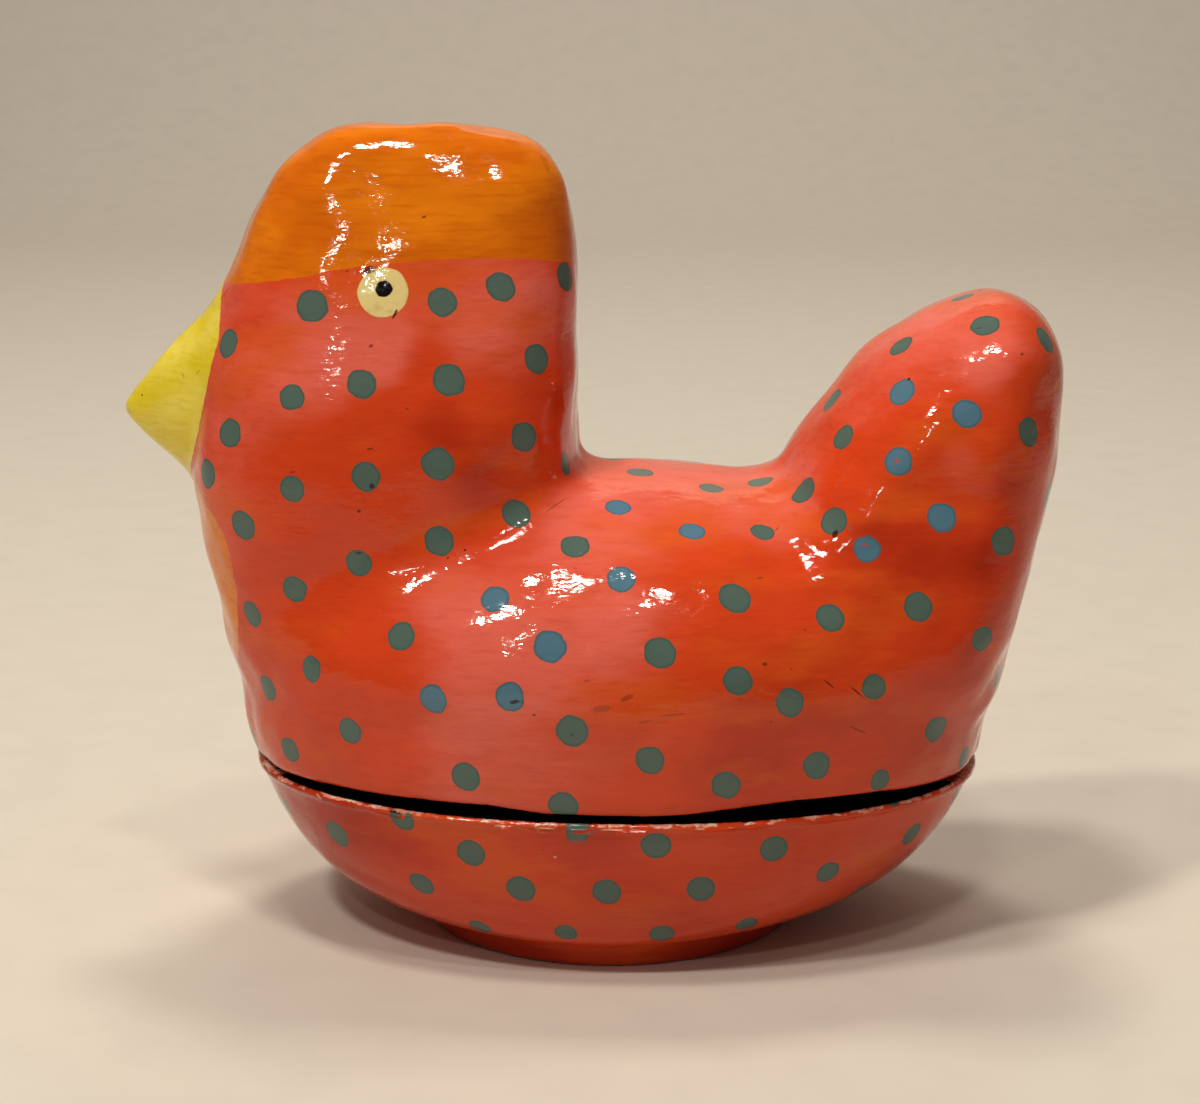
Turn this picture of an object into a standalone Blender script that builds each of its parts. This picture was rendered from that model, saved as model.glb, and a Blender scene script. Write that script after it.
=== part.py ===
"""Chicken trinket box: a hen-shaped lid on a shallow oval bowl with a turned foot.

The hen's body, neck and tail are one rounded form.  It is described by a field that is
negative inside and close to a distance near the skin, and both pieces are cut from it.
The head faces -X and the tail +X, +Z is up, and the origin is at the middle of the
foot's flat underside.
"""

import math

import bmesh
import bpy
import numpy as np
from mathutils import Matrix

MM = 0.001

# Bowl and belly: a round foot that opens into an oval body
FOOT_RADIUS = 21.4 * MM
FOOT_HEIGHT = 2.8 * MM
FOOT_FLARE = 0.5 * MM
BELLY_HALF_LENGTH = 42.2 * MM
BELLY_HALF_WIDTH = 29.2 * MM
BELLY_LEVEL = 30.0 * MM
BELLY_SHIFT = 1.0 * MM
BELLY_POWER = 2.1
PLAN_POWER = 2.15
BACK_LEVEL = 51.2 * MM
BACK_POWER = 2.0

# Where the lid meets the bowl
SEAM_LEVEL = 18.5 * MM
SEAM_FALL = 0.0096
SEAM_GAP = 0.35 * MM
COLLAR_HEIGHT = 4.5 * MM
COLLAR_DEPTH = 4.0 * MM
COLLAR_THICKNESS = 1.6 * MM
COLLAR_CLEARANCE = 0.6 * MM

# Thickness of the hollow walls; the collar lies against the bowl's wall and inside the lid's
LID_WALL = 3.0 * MM
BOWL_WALL = LID_WALL + COLLAR_CLEARANCE
BOWL_FLOOR = 3.2 * MM

# Head and neck: a rounded slab that stands on the front of the body
HEAD_LENGTH = 43.6 * MM
HEAD_RISE = 37.5 * MM
CHEST_OVERHANG = 5.0 * MM
NECK_HALF_WIDTH = 18.0 * MM
COMB_HALF_WIDTH = 8.0 * MM
NECK_EDGE = 20.0 * MM
COMB_EDGE = 14.0 * MM
HEAD_POWER = 2.5
NECK_BLEND = 3.8 * MM

# Tail: a broad rounded fin that leans back over the rump
TAIL_LENGTH = 33.0 * MM
TAIL_RISE = 19.4 * MM
RUMP_OVERHANG = 6.5 * MM
TAIL_ROOT_HALF_WIDTH = 21.0 * MM
TAIL_TIP_HALF_WIDTH = 14.5 * MM
TAIL_EDGE = 9.5 * MM
TAIL_POWER = 2.0
TAIL_BLEND = 4.5 * MM

# Beak: a blunt solid cone on the face
BEAK_REACH = 12.6 * MM
BEAK_TIP_LEVEL = 57.5 * MM
BEAK_LENGTH = 12.5 * MM
BEAK_HALF_ANGLE = math.radians(44.0)
BEAK_TILT = math.radians(2.7)
BEAK_FLATNESS = 0.66
BEAK_BLUNTNESS = 1.2 * MM

# Facets
SKIN_SPACING = 2.9 * MM
HOLLOW_SPACING = 4.2 * MM
BOWL_SEGMENTS = 52
SIDE_RINGS = 8
BEAK_SEGMENTS = 20
BEAK_RINGS = 6
BEAK_RING_POWER = 1.6

# How finely a surface is searched for: the step of a slope as a share of the spacing, the
# moves towards the surface, the cells round the box, and the halvings along a line
SLOPE_STEP = 0.05
SETTLING_MOVES = 4
CELL_MARGIN = 1.5
HALVINGS = 40
FLAT_SLOPE = 1e-9
NO_MOVE = 1e-12

# Side outline of head and neck, as shares of HEAD_LENGTH forward of the nape
# and of HEAD_RISE above the back
HEAD_OUTLINE = (
    (0.022, 0.10), (0.02, 0.29), (0.025, 0.50), (0.037, 0.74), (0.067, 0.864),
    (0.145, 0.957), (0.28, 0.995), (0.49, 1.00), (0.638, 0.979), (0.745, 0.90),
    (0.823, 0.78), (0.869, 0.66), (0.904, 0.54), (0.952, 0.315), (0.993, 0.02),
    (0.984, -0.125), (0.962, -0.285), (0.925, -0.43), (0.855, -0.58), (0.695, -0.67),
    (0.40, -0.645), (0.145, -0.46), (0.03, -0.165),
)

# Side outline of the tail, as shares of TAIL_LENGTH back from its front root
# and of TAIL_RISE above the back
TAIL_OUTLINE = (
    (0.00, -0.268), (0.073, 0.02), (0.167, 0.263), (0.327, 0.603), (0.533, 0.871),
    (0.748, 1.00), (0.903, 0.918), (0.988, 0.701), (1.00, 0.402), (0.979, 0.02),
    (0.933, -0.345), (0.882, -0.706), (0.83, -0.974), (0.718, -1.247), (0.46, -1.30),
    (0.127, -0.887),
)


def smooth_curve(points, steps=8):
    """Closed curve through the points, as an array of steps points for each."""
    knots = np.asarray(points, dtype=float)
    share = np.linspace(0.0, 1.0, steps, endpoint=False)[:, None]
    before, start, end, after = (np.roll(knots, turn, axis=0) for turn in (1, 0, -1, -2))
    pieces = []
    for p0, p1, p2, p3 in zip(before, start, end, after):
        pieces.append(0.5 * (2 * p1 + (p2 - p0) * share
                             + (2 * p0 - 5 * p1 + 4 * p2 - p3) * share ** 2
                             + (3 * p1 - p0 - 3 * p2 + p3) * share ** 3))
    return np.concatenate(pieces)


def depth_inside(curve, x, z):
    """Distance from each (x, z) to the closed curve, positive inside it."""
    x, z = np.broadcast_arrays(x, z)
    spots = np.stack([np.ravel(x), np.ravel(z)], axis=1)
    nearest = np.full(len(spots), np.inf)
    crossings = np.zeros(len(spots), dtype=int)
    for start, end in zip(curve, np.roll(curve, -1, axis=0)):
        along = end - start
        offset = spots - start
        share = np.clip(offset @ along / (along @ along), 0.0, 1.0)
        gap = offset - share[:, None] * along
        nearest = np.minimum(nearest, np.einsum("ij,ij->i", gap, gap))
        spans = (start[1] > spots[:, 1]) != (end[1] > spots[:, 1])
        if end[1] != start[1]:
            cut = start[0] + (spots[:, 1] - start[1]) * along[0] / along[1]
            crossings += spans & (spots[:, 0] < cut)
    depth = np.sqrt(nearest) * np.where(crossings % 2 == 1, 1.0, -1.0)
    return depth.reshape(np.shape(x))


def blend(first, second, reach):
    """Union of two fields, with a fillet about as deep as reach."""
    share = np.clip(0.5 + 0.5 * (second - first) / reach, 0.0, 1.0)
    return second * (1 - share) + first * share - reach * share * (1 - share)


def head_curve():
    """Side outline of head and neck in metres."""
    nape = BELLY_SHIFT - BELLY_HALF_LENGTH - CHEST_OVERHANG + HEAD_LENGTH
    return smooth_curve([(nape - forward * HEAD_LENGTH, BACK_LEVEL + rise * HEAD_RISE)
                         for forward, rise in HEAD_OUTLINE])


def tail_curve():
    """Side outline of the tail in metres."""
    root = BELLY_SHIFT + BELLY_HALF_LENGTH + RUMP_OVERHANG - TAIL_LENGTH
    return smooth_curve([(root + back * TAIL_LENGTH, BACK_LEVEL + rise * TAIL_RISE)
                         for back, rise in TAIL_OUTLINE])


def belly_share(z, bottom=FOOT_HEIGHT):
    """How far the bowl has opened at height z: 0 at its bottom, 1 at the widest."""
    fall = np.clip((BELLY_LEVEL - z) / (BELLY_LEVEL - bottom), 0.0, 1.0)
    return (1.0 - fall ** BELLY_POWER) ** (1.0 / BELLY_POWER)


def belly_field(x, y, z, inset):
    """The oval body: superellipse sections below its widest level, a dome above it."""
    opened = belly_share(np.asarray(z, dtype=float))
    half_length = FOOT_RADIUS + (BELLY_HALF_LENGTH - FOOT_RADIUS) * opened - inset
    half_width = FOOT_RADIUS + (BELLY_HALF_WIDTH - FOOT_RADIUS) * opened - inset
    plan = ((np.abs(x - BELLY_SHIFT * opened) / half_length) ** PLAN_POWER
            + (np.abs(y) / half_width) ** PLAN_POWER) ** (1.0 / PLAN_POWER)
    rise = np.maximum(z - BELLY_LEVEL, 0.0) / (BACK_LEVEL - BELLY_LEVEL - inset)
    size = (plan ** BACK_POWER + rise ** BACK_POWER) ** (1.0 / BACK_POWER)
    return (size - 1.0) * half_width


def slab_field(depth, y, half_width, edge, power):
    """A slab with a given side outline: full width inside, rounded to its outline."""
    inward = np.maximum(0.0, 1.0 - depth / edge)
    across = np.abs(y) / half_width
    size = (inward ** power + across ** power) ** (1.0 / power)
    return (size - 1.0) * np.minimum(half_width, edge)


def ease(share):
    """Smooth step from 0 to 1."""
    share = np.clip(share, 0.0, 1.0)
    return share * share * (3.0 - 2.0 * share)


def head_field(x, y, z, curve, inset):
    """Head, neck and comb as one slab that thins towards the comb's top."""
    share = ease((z - BACK_LEVEL) / HEAD_RISE)
    half_width = NECK_HALF_WIDTH + (COMB_HALF_WIDTH - NECK_HALF_WIDTH) * share - inset
    edge = NECK_EDGE + (COMB_EDGE - NECK_EDGE) * share - inset
    depth = depth_inside(curve, x, z) - inset
    return slab_field(depth, y, half_width, edge, HEAD_POWER)


def tail_field(x, y, z, curve, inset):
    """Tail as a slab that thins towards its tip."""
    share = ease((z - BACK_LEVEL + TAIL_RISE) / (2 * TAIL_RISE))
    half_width = (TAIL_ROOT_HALF_WIDTH
                  + (TAIL_TIP_HALF_WIDTH - TAIL_ROOT_HALF_WIDTH) * share - inset)
    depth = depth_inside(curve, x, z) - inset
    return slab_field(depth, y, half_width, TAIL_EDGE - inset, TAIL_POWER)


class HenForm:
    """The hen's rounded form, as fields of points in metres."""

    def __init__(self):
        self.head = head_curve()
        self.tail = tail_curve()

    def body(self, x, y, z, inset=0.0):
        """Skin of body, neck and tail without the beak, set in by a wall's thickness."""
        whole = blend(belly_field(x, y, z, inset),
                      head_field(x, y, z, self.head, inset), NECK_BLEND)
        return blend(whole, tail_field(x, y, z, self.tail, inset), TAIL_BLEND)

    def inside(self, x, y, z):
        """The hollow of the lid."""
        return self.body(x, y, z, LID_WALL)


def seam_height(x):
    """Height of the bowl's rim at x."""
    return SEAM_LEVEL - SEAM_FALL * x


def gradient(field, spots, step):
    """Gradient of the field at each spot, by central differences."""
    slopes = []
    for axis in range(3):
        shift = np.zeros(3)
        shift[axis] = step
        slopes.append((field(*(spots + shift).T) - field(*(spots - shift).T)) / (2 * step))
    return np.stack(slopes, axis=1)


def settle(field, spots, spacing):
    """Moves each spot along the gradient on to the surface where the field is zero."""
    for _ in range(SETTLING_MOVES):
        slope = gradient(field, spots, spacing * SLOPE_STEP)
        square = np.maximum(np.einsum("ij,ij->i", slope, slope), FLAT_SLOPE)
        move = -field(*spots.T)[:, None] * slope / square[:, None]
        length = np.linalg.norm(move, axis=1, keepdims=True)
        spots = spots + move * np.minimum(1.0, spacing / np.maximum(length, NO_MOVE))
    return spots


def skin_mesh(name, field, low, high, spacing):
    """Closed mesh of the surface where the field is zero, by one point in each cell."""
    spare = 2 * math.ceil(CELL_MARGIN)
    counts = [int(math.ceil((top - bottom) / spacing)) + spare
              for bottom, top in zip(low, high)]
    start = np.array(low) - CELL_MARGIN * spacing
    axes = [first + spacing * np.arange(count) for first, count in zip(start, counts)]
    values = field(*np.meshgrid(*axes, indexing="ij", sparse=True))
    solid = values < 0.0

    corners = [(i, j, k) for i in (0, 1) for j in (0, 1) for k in (0, 1)]
    cells = tuple(count - 1 for count in counts)

    def corner_of(array, corner):
        return array[tuple(slice(c, c + n) for c, n in zip(corner, cells))]

    filled = sum(corner_of(solid, corner).astype(int) for corner in corners)
    mixed = (filled > 0) & (filled < len(corners))
    total = np.zeros(cells + (3,))
    hits = np.zeros(cells)
    for first in corners:
        for axis in range(3):
            if first[axis]:
                continue
            second = tuple(c + (n == axis) for n, c in enumerate(first))
            v1, v2 = corner_of(values, first), corner_of(values, second)
            crossed = (v1 < 0.0) != (v2 < 0.0)
            share = np.where(crossed, v1 / np.where(crossed, v1 - v2, 1.0), 0.0)
            for n in range(3):
                place = first[n] + (share if n == axis else 0.0)
                total[..., n] += np.where(crossed, place, 0.0)
            hits += crossed
    index = np.full(cells, -1)
    index[mixed] = np.arange(int(mixed.sum()))
    origin = np.argwhere(mixed)
    spots = start + spacing * (origin + total[mixed] / hits[mixed][:, None])
    spots = settle(field, spots, spacing)

    faces = []
    for axis in range(3):
        side, up = (axis + 1) % 3, (axis + 2) % 3
        here = [slice(1, n) for n in cells]
        here[axis] = slice(0, cells[axis])
        there = list(here)
        there[axis] = slice(1, cells[axis] + 1)
        now, then = solid[tuple(here)], solid[tuple(there)]
        for leaving in (True, False):
            edges = np.argwhere(now & ~then if leaving else ~now & then)
            edges = edges + np.array([0 if n == axis else 1 for n in range(3)])
            ring = []
            for back_side, back_up in ((1, 1), (0, 1), (0, 0), (1, 0)):
                cell = edges.copy()
                cell[:, side] -= back_side
                cell[:, up] -= back_up
                ring.append(index[tuple(cell.T)])
            quads = np.stack(ring, axis=1)
            faces.append(quads if leaving else quads[:, ::-1])
    mesh = bpy.data.meshes.new(name)
    mesh.from_pydata(spots.tolist(), [], np.concatenate(faces).tolist())
    mesh.validate()
    return mesh


def place(name, mesh, material=None):
    """Object for a mesh, in the scene."""
    thing = bpy.data.objects.new(name, mesh)
    bpy.context.scene.collection.objects.link(thing)
    if material is not None:
        mesh.materials.append(material)
    return thing


def as_cutter(thing):
    """Marks an object that only shapes others."""
    thing.hide_render = True
    thing.display_type = "WIRE"
    return thing


def shape(thing, other, name, operation="DIFFERENCE"):
    """Takes the other object's space out of an object, or adds it."""
    modifier = thing.modifiers.new(name, "BOOLEAN")
    modifier.operation = operation
    modifier.solver = "EXACT"
    modifier.object = other


def plain_material(name, colour, roughness):
    """One colour with one gloss."""
    material = bpy.data.materials.new(name)
    material.use_nodes = True
    shader = material.node_tree.nodes["Principled BSDF"]
    shader.inputs["Base Color"].default_value = (*colour, 1.0)
    shader.inputs["Roughness"].default_value = roughness
    shader.inputs["Metallic"].default_value = 0.0
    return material


def seam_cutter(gap):
    """Block that fills everything below the lid's lower edge, a gap above the rim."""
    reach = 2 * (BELLY_HALF_LENGTH + RUMP_OVERHANG + BEAK_REACH)
    depth = 2 * BACK_LEVEL
    block = bmesh.new()
    bmesh.ops.create_cube(block, size=1.0)
    bmesh.ops.scale(block, vec=(reach, reach, depth), verts=block.verts)
    bmesh.ops.translate(block, vec=(0.0, 0.0, -depth / 2), verts=block.verts)
    tilt = Matrix.Rotation(math.atan(SEAM_FALL), 4, "Y")
    bmesh.ops.transform(block, matrix=tilt, verts=block.verts)
    bmesh.ops.translate(block, vec=(0.0, 0.0, SEAM_LEVEL + gap), verts=block.verts)
    mesh = bpy.data.meshes.new("below_the_lid")
    block.to_mesh(mesh)
    block.free()
    return as_cutter(place("below_the_lid", mesh))


def closed_below(field, bottom):
    """The field's inside, closed flat at a height."""
    def capped(x, y, z):
        return np.maximum(field(x, y, z), bottom - z)
    return capped


def hen_mesh(name, field, bottom, spacing):
    """Mesh of a field that lies within the hen, from a height upward."""
    low = (BELLY_SHIFT - BELLY_HALF_LENGTH - BEAK_REACH, -BELLY_HALF_WIDTH, bottom)
    high = (BELLY_SHIFT + BELLY_HALF_LENGTH + RUMP_OVERHANG, BELLY_HALF_WIDTH,
            BACK_LEVEL + max(HEAD_RISE, TAIL_RISE))
    return skin_mesh(name, closed_below(field, bottom), low, high, spacing)


def beak_cone():
    """Blunt solid cone from the beak's tip back into the face, to join to the lid."""
    slope = math.tan(BEAK_HALF_ANGLE)
    apex_back = BEAK_BLUNTNESS / slope
    cone = bmesh.new()
    rings = [[cone.verts.new((0.0, 0.0, 0.0))]]
    for ring in range(1, BEAK_RINGS + 1):
        along = BEAK_LENGTH * (ring / BEAK_RINGS) ** BEAK_RING_POWER
        radius = math.sqrt(((along + apex_back) * slope) ** 2 - BEAK_BLUNTNESS ** 2)
        turns = [2 * math.pi * n / BEAK_SEGMENTS for n in range(BEAK_SEGMENTS)]
        rings.append([cone.verts.new((along, BEAK_FLATNESS * radius * math.cos(turn),
                                      radius * math.sin(turn))) for turn in turns])
    for n in range(BEAK_SEGMENTS):
        after = (n + 1) % BEAK_SEGMENTS
        cone.faces.new((rings[0][0], rings[1][n], rings[1][after]))
        for front, back in zip(rings[1:], rings[2:]):
            cone.faces.new((front[n], back[n], back[after], front[after]))
    cone.faces.new(rings[-1])
    bmesh.ops.recalc_face_normals(cone, faces=cone.faces)
    tip_x = BELLY_SHIFT - BELLY_HALF_LENGTH - BEAK_REACH
    bmesh.ops.transform(cone, verts=cone.verts,
                        matrix=Matrix.Translation((tip_x, 0.0, BEAK_TIP_LEVEL))
                        @ Matrix.Rotation(-BEAK_TILT, 4, "Y"))
    mesh = bpy.data.meshes.new("beak")
    cone.to_mesh(mesh)
    cone.free()
    return as_cutter(place("beak", mesh))


def build_lid(form, material):
    """The hen: outer skin with its beak, less its hollow and all below its lower edge."""
    bottom = SEAM_LEVEL - 2 * SKIN_SPACING
    lid = place("hen_lid", hen_mesh("hen_lid", form.body, bottom, SKIN_SPACING), material)
    shape(lid, beak_cone(), "beak", "UNION")
    hollow = hen_mesh("hollow", form.inside, bottom - HOLLOW_SPACING, HOLLOW_SPACING)
    shape(lid, as_cutter(place("hollow", hollow)), "hollow")
    shape(lid, seam_cutter(SEAM_GAP), "lower_edge")
    lid.data.shade_smooth()
    return lid


def ring_radius(field, angle, height):
    """Distance from the Z axis to the surface, along each angle at a height."""
    inner = np.zeros_like(angle)
    outer = np.full_like(angle, 2 * BELLY_HALF_LENGTH)
    for _ in range(HALVINGS):
        middle = 0.5 * (inner + outer)
        x, y = middle * np.cos(angle), middle * np.sin(angle)
        inside = field(x, y, height(x)) < 0.0
        inner = np.where(inside, middle, inner)
        outer = np.where(inside, outer, middle)
    return inner


def rim_ring(form, angle, inset, above):
    """Ring of points at a height above the rim plane, set in from the hen's skin."""
    def field(x, y, z):
        return form.body(x, y, z, inset)

    def height(x):
        return seam_height(x) + above
    radius = ring_radius(field, angle, height)
    x, y = radius * np.cos(angle), radius * np.sin(angle)
    return np.stack([x, y, height(x)], axis=1)


def round_ring(angle, radius, height):
    """Flat circle of points."""
    return np.stack([radius * np.cos(angle), radius * np.sin(angle),
                     np.full_like(angle, height)], axis=1)


def between(low_ring, high_ring, share):
    """Ring of a bulging side that opens from the low ring to the high one."""
    bottom = low_ring[0, 2]
    rise = bottom + (high_ring[:, 2] - bottom) * share
    opened = belly_share(rise, bottom) / belly_share(high_ring[:, 2], bottom)
    plan = low_ring[:, :2] + (high_ring[:, :2] - low_ring[:, :2]) * opened[:, None]
    return np.column_stack([plan, rise])


def build_bowl(form, material):
    """The bowl as one loft: foot, bulging side, rim, collar, inner wall and floor."""
    angle = 2 * math.pi * np.arange(BOWL_SEGMENTS) / BOWL_SEGMENTS
    outer_rim = rim_ring(form, angle, 0.0, 0.0)
    foot_top = round_ring(angle, FOOT_RADIUS + FOOT_FLARE, FOOT_HEIGHT)
    side_shares = [1 - math.cos(0.5 * math.pi * ring / SIDE_RINGS)
                   for ring in range(1, SIDE_RINGS)]
    rings = [round_ring(angle, FOOT_RADIUS, 0.0), foot_top]
    rings += [between(foot_top, outer_rim, share) for share in side_shares]
    rings.append(outer_rim)

    collar_inset = BOWL_WALL + COLLAR_THICKNESS
    rings.append(rim_ring(form, angle, BOWL_WALL, 0.0))
    rings.append(rim_ring(form, angle, BOWL_WALL, COLLAR_HEIGHT))
    rings.append(rim_ring(form, angle, collar_inset, COLLAR_HEIGHT))
    rings.append(rim_ring(form, angle, collar_inset, -COLLAR_DEPTH))

    wall_top = rim_ring(form, angle, BOWL_WALL, -COLLAR_DEPTH)
    floor = round_ring(angle, FOOT_RADIUS + FOOT_FLARE - BOWL_WALL,
                       FOOT_HEIGHT + BOWL_FLOOR)
    rings.append(wall_top)
    rings += [between(floor, wall_top, share) for share in reversed(side_shares)]
    rings.append(floor)

    loft = bmesh.new()
    loops = [[loft.verts.new(spot) for spot in ring] for ring in rings]
    for lower, upper in zip(loops, loops[1:]):
        for n in range(BOWL_SEGMENTS):
            after = (n + 1) % BOWL_SEGMENTS
            loft.faces.new((lower[n], lower[after], upper[after], upper[n]))
    loft.faces.new(list(reversed(loops[0])))
    loft.faces.new(loops[-1])
    mesh = bpy.data.meshes.new("bowl_base")
    loft.to_mesh(mesh)
    loft.free()
    bowl = place("bowl_base", mesh, material)
    mesh.shade_smooth()
    mesh.set_sharp_from_angle(angle=math.radians(40))
    return bowl


def main():
    """Clears the scene and builds both pieces."""
    for thing in list(bpy.data.objects):
        bpy.data.objects.remove(thing, do_unlink=True)
    form = HenForm()
    build_lid(form, plain_material("red_lacquer", (0.62, 0.085, 0.035), 0.28))
    build_bowl(form, plain_material("red_lacquer_bowl", (0.62, 0.085, 0.035), 0.28))


main()
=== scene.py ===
"""Chicken trinket box: its painted and lacquered looks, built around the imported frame.

The hen is a lid that lifts off a shallow bowl.  The head faces -X and the tail +X, +Z is
up, and the origin is at the middle of the foot's flat underside.  Lengths are in metres,
and places read from the photograph are in its own pixels, column then row.
"""

from __future__ import annotations

import logging
import math
from collections.abc import Callable, Sequence
from dataclasses import dataclass, field
from enum import Enum
from functools import cached_property

import bpy
import numpy as np
from mathutils import Matrix, Vector
from mathutils.bvhtree import BVHTree

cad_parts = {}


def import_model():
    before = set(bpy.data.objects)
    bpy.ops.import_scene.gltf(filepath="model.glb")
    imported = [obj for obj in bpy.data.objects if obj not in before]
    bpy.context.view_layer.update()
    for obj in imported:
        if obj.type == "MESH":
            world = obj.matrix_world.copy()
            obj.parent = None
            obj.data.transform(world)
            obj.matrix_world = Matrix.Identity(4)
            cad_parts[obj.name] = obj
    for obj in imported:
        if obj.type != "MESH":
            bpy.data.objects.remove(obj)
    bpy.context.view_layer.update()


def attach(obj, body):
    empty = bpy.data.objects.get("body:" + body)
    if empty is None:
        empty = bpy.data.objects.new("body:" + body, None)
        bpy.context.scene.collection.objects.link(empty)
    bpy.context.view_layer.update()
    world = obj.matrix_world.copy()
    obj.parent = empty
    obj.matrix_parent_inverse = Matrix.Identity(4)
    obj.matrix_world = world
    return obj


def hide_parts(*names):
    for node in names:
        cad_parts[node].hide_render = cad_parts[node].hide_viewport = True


MM = 0.001

# How far round a spot of paint its place is kept in the mesh: distances, half sizes, and
# how far the surface may turn from the spot's own normal
MESH_REACH = 1.4 * MM
DOT_GAP = 2.2 * MM
MARK_GAP = 1.0 * MM
MARK_GUARD = 2.6
EYE_GUARD = 1.8
BARE_RADIUS = 1.25
FACING = 0.2

# Paint values, in mm from an area's edge, where a surface lies wholly out of or in it
FAR_OUTSIDE = -3.0
DEEP_INSIDE = 2.0

LOG = logging.getLogger("chicken_trinket_box")

Array = np.ndarray
Field = Callable[[Array, Array, Array], Array]
Pixel = tuple[float, float]
Colour = tuple[float, float, float]
Point = tuple[float, float, float]
Value = bpy.types.NodeSocket | Colour | float

# Side outline of head and neck, as shares of the head's length forward of the nape
# and of its rise above the back
HEAD_OUTLINE = (
    (0.022, 0.10), (0.02, 0.29), (0.025, 0.50), (0.037, 0.74), (0.067, 0.864),
    (0.145, 0.957), (0.28, 0.995), (0.49, 1.00), (0.638, 0.979), (0.745, 0.90),
    (0.823, 0.78), (0.869, 0.66), (0.904, 0.54), (0.952, 0.315), (0.993, 0.02),
    (0.984, -0.125), (0.962, -0.285), (0.925, -0.43), (0.855, -0.58), (0.695, -0.67),
    (0.40, -0.645), (0.145, -0.46), (0.03, -0.165),
)

# Side outline of the tail, as shares of its length back from its front root and of its
# rise above the back
TAIL_OUTLINE = (
    (0.00, -0.268), (0.073, 0.02), (0.167, 0.263), (0.327, 0.603), (0.533, 0.871),
    (0.748, 1.00), (0.903, 0.918), (0.988, 0.701), (1.00, 0.402), (0.979, 0.02),
    (0.933, -0.345), (0.882, -0.706), (0.83, -0.974), (0.718, -1.247), (0.46, -1.30),
    (0.127, -0.887),
)

# Lift of the lid's lower edge above the bowl's rim, in mm, by degrees round the rim from
# the tail end towards the side away from the photograph
LID_EDGE_LIFTS = (
    (0.0, 0.55), (20.0, 0.8), (45.0, 1.5), (75.0, 0.9), (105.0, 0.7), (140.0, 1.3),
    (165.0, 0.9), (185.0, 0.5), (205.0, 0.8), (224.0, 1.35), (243.0, 1.4), (254.0, 0.85),
    (275.0, 0.75), (284.0, 0.95), (304.0, 1.9), (314.0, 1.9), (321.0, 1.6), (331.0, 1.0),
    (342.0, 0.6),
)


class Place(Enum):
    """Attributes of the painted meshes that hold where each paint lies."""

    COMB = "comb_edge"
    BEAK = "beak_edge"
    WATTLE = "wattle_edge"
    BLACK = "black_edge"
    EYE = "eye_place"
    DOT = "dot_place"
    # How blue each dot is: partly its own paint and partly painted reflection of the light
    DOT_TINT = "dot_tint"
    MARK = "mark_place"
    MARK_TONE = "mark_tone"
    # red_tone holds the paint's own drift and patches, and also painted sheen and painted
    # shade
    TONE = "red_tone"


class Tone(Enum):
    """How far a patch or mark is from the ground: pinker or paler up, darker down."""

    # Pinker paint, and in part painted sheen
    PINK_AND_SHEEN = 1.0
    ORANGE = 0.45
    # Deep red of some marks, and painted shade in the patch on the neck's back
    DEEP = -1.0
    # Painted shade
    PAINTED_SHADE = -0.5
    DARK = 0.0
    PALE = 1.5


class DotSize(Enum):
    """Widths of the painted dots, in the photograph's pixels."""

    TINY = 23.0
    SMALL = 26.0
    MIDDLE = 29.0
    LARGE = 32.0


def srgb(red: float, green: float, blue: float) -> Colour:
    """Linear colour for screen values from 0 to 255."""
    def linear(value: float) -> float:
        share = value / 255.0
        return share / 12.92 if share <= 0.04045 else ((share + 0.055) / 1.055) ** 2.4
    return linear(red), linear(green), linear(blue)


def ease(share: Array) -> Array:
    """Smooth step from 0 to 1."""
    share = np.clip(share, 0.0, 1.0)
    return share * share * (3.0 - 2.0 * share)


def join(first: Array, second: Array, reach: float) -> Array:
    """Union of two fields, with a fillet about as deep as reach.

    Args:
        first: Values of one field.
        second: Values of the other.
        reach: Depth of the fillet between them.

    Returns:
        Values of the joined field.
    """
    share = np.clip(0.5 + 0.5 * (second - first) / reach, 0.0, 1.0)
    return second * (1 - share) + first * share - reach * share * (1 - share)


def overlap(first: Array, second: Array, reach: float) -> Array:
    """What two fields share, with its edge rounded about as deep as reach."""
    return -join(-first, -second, reach)


def smooth_curve(points: Sequence[tuple[float, float]], steps: int = 8) -> Array:
    """Closed curve through the points, as steps points for each."""
    knots = np.asarray(points, dtype=float)
    share = np.linspace(0.0, 1.0, steps, endpoint=False)[:, None]
    before, start, end, after = (np.roll(knots, turn, axis=0) for turn in (1, 0, -1, -2))
    pieces = []
    for p0, p1, p2, p3 in zip(before, start, end, after):
        pieces.append(0.5 * (2 * p1 + (p2 - p0) * share
                             + (2 * p0 - 5 * p1 + 4 * p2 - p3) * share ** 2
                             + (3 * p1 - p0 - 3 * p2 + p3) * share ** 3))
    return np.concatenate(pieces)


def depth_inside(curve: Array, x: Array, z: Array) -> Array:
    """Distance from each (x, z) to the closed curve, positive inside it."""
    x, z = np.broadcast_arrays(x, z)
    spots = np.stack([np.ravel(x), np.ravel(z)], axis=1)
    nearest = np.full(len(spots), np.inf)
    crossings = np.zeros(len(spots), dtype=int)
    for start, end in zip(curve, np.roll(curve, -1, axis=0)):
        along = end - start
        offset = spots - start
        share = np.clip(offset @ along / (along @ along), 0.0, 1.0)
        gap = offset - share[:, None] * along
        nearest = np.minimum(nearest, np.einsum("ij,ij->i", gap, gap))
        spans = (start[1] > spots[:, 1]) != (end[1] > spots[:, 1])
        if end[1] != start[1]:
            cut = start[0] + (spots[:, 1] - start[1]) * along[0] / along[1]
            crossings += spans & (spots[:, 0] < cut)
    depth = np.sqrt(nearest) * np.where(crossings % 2 == 1, 1.0, -1.0)
    return depth.reshape(np.shape(x))


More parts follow.
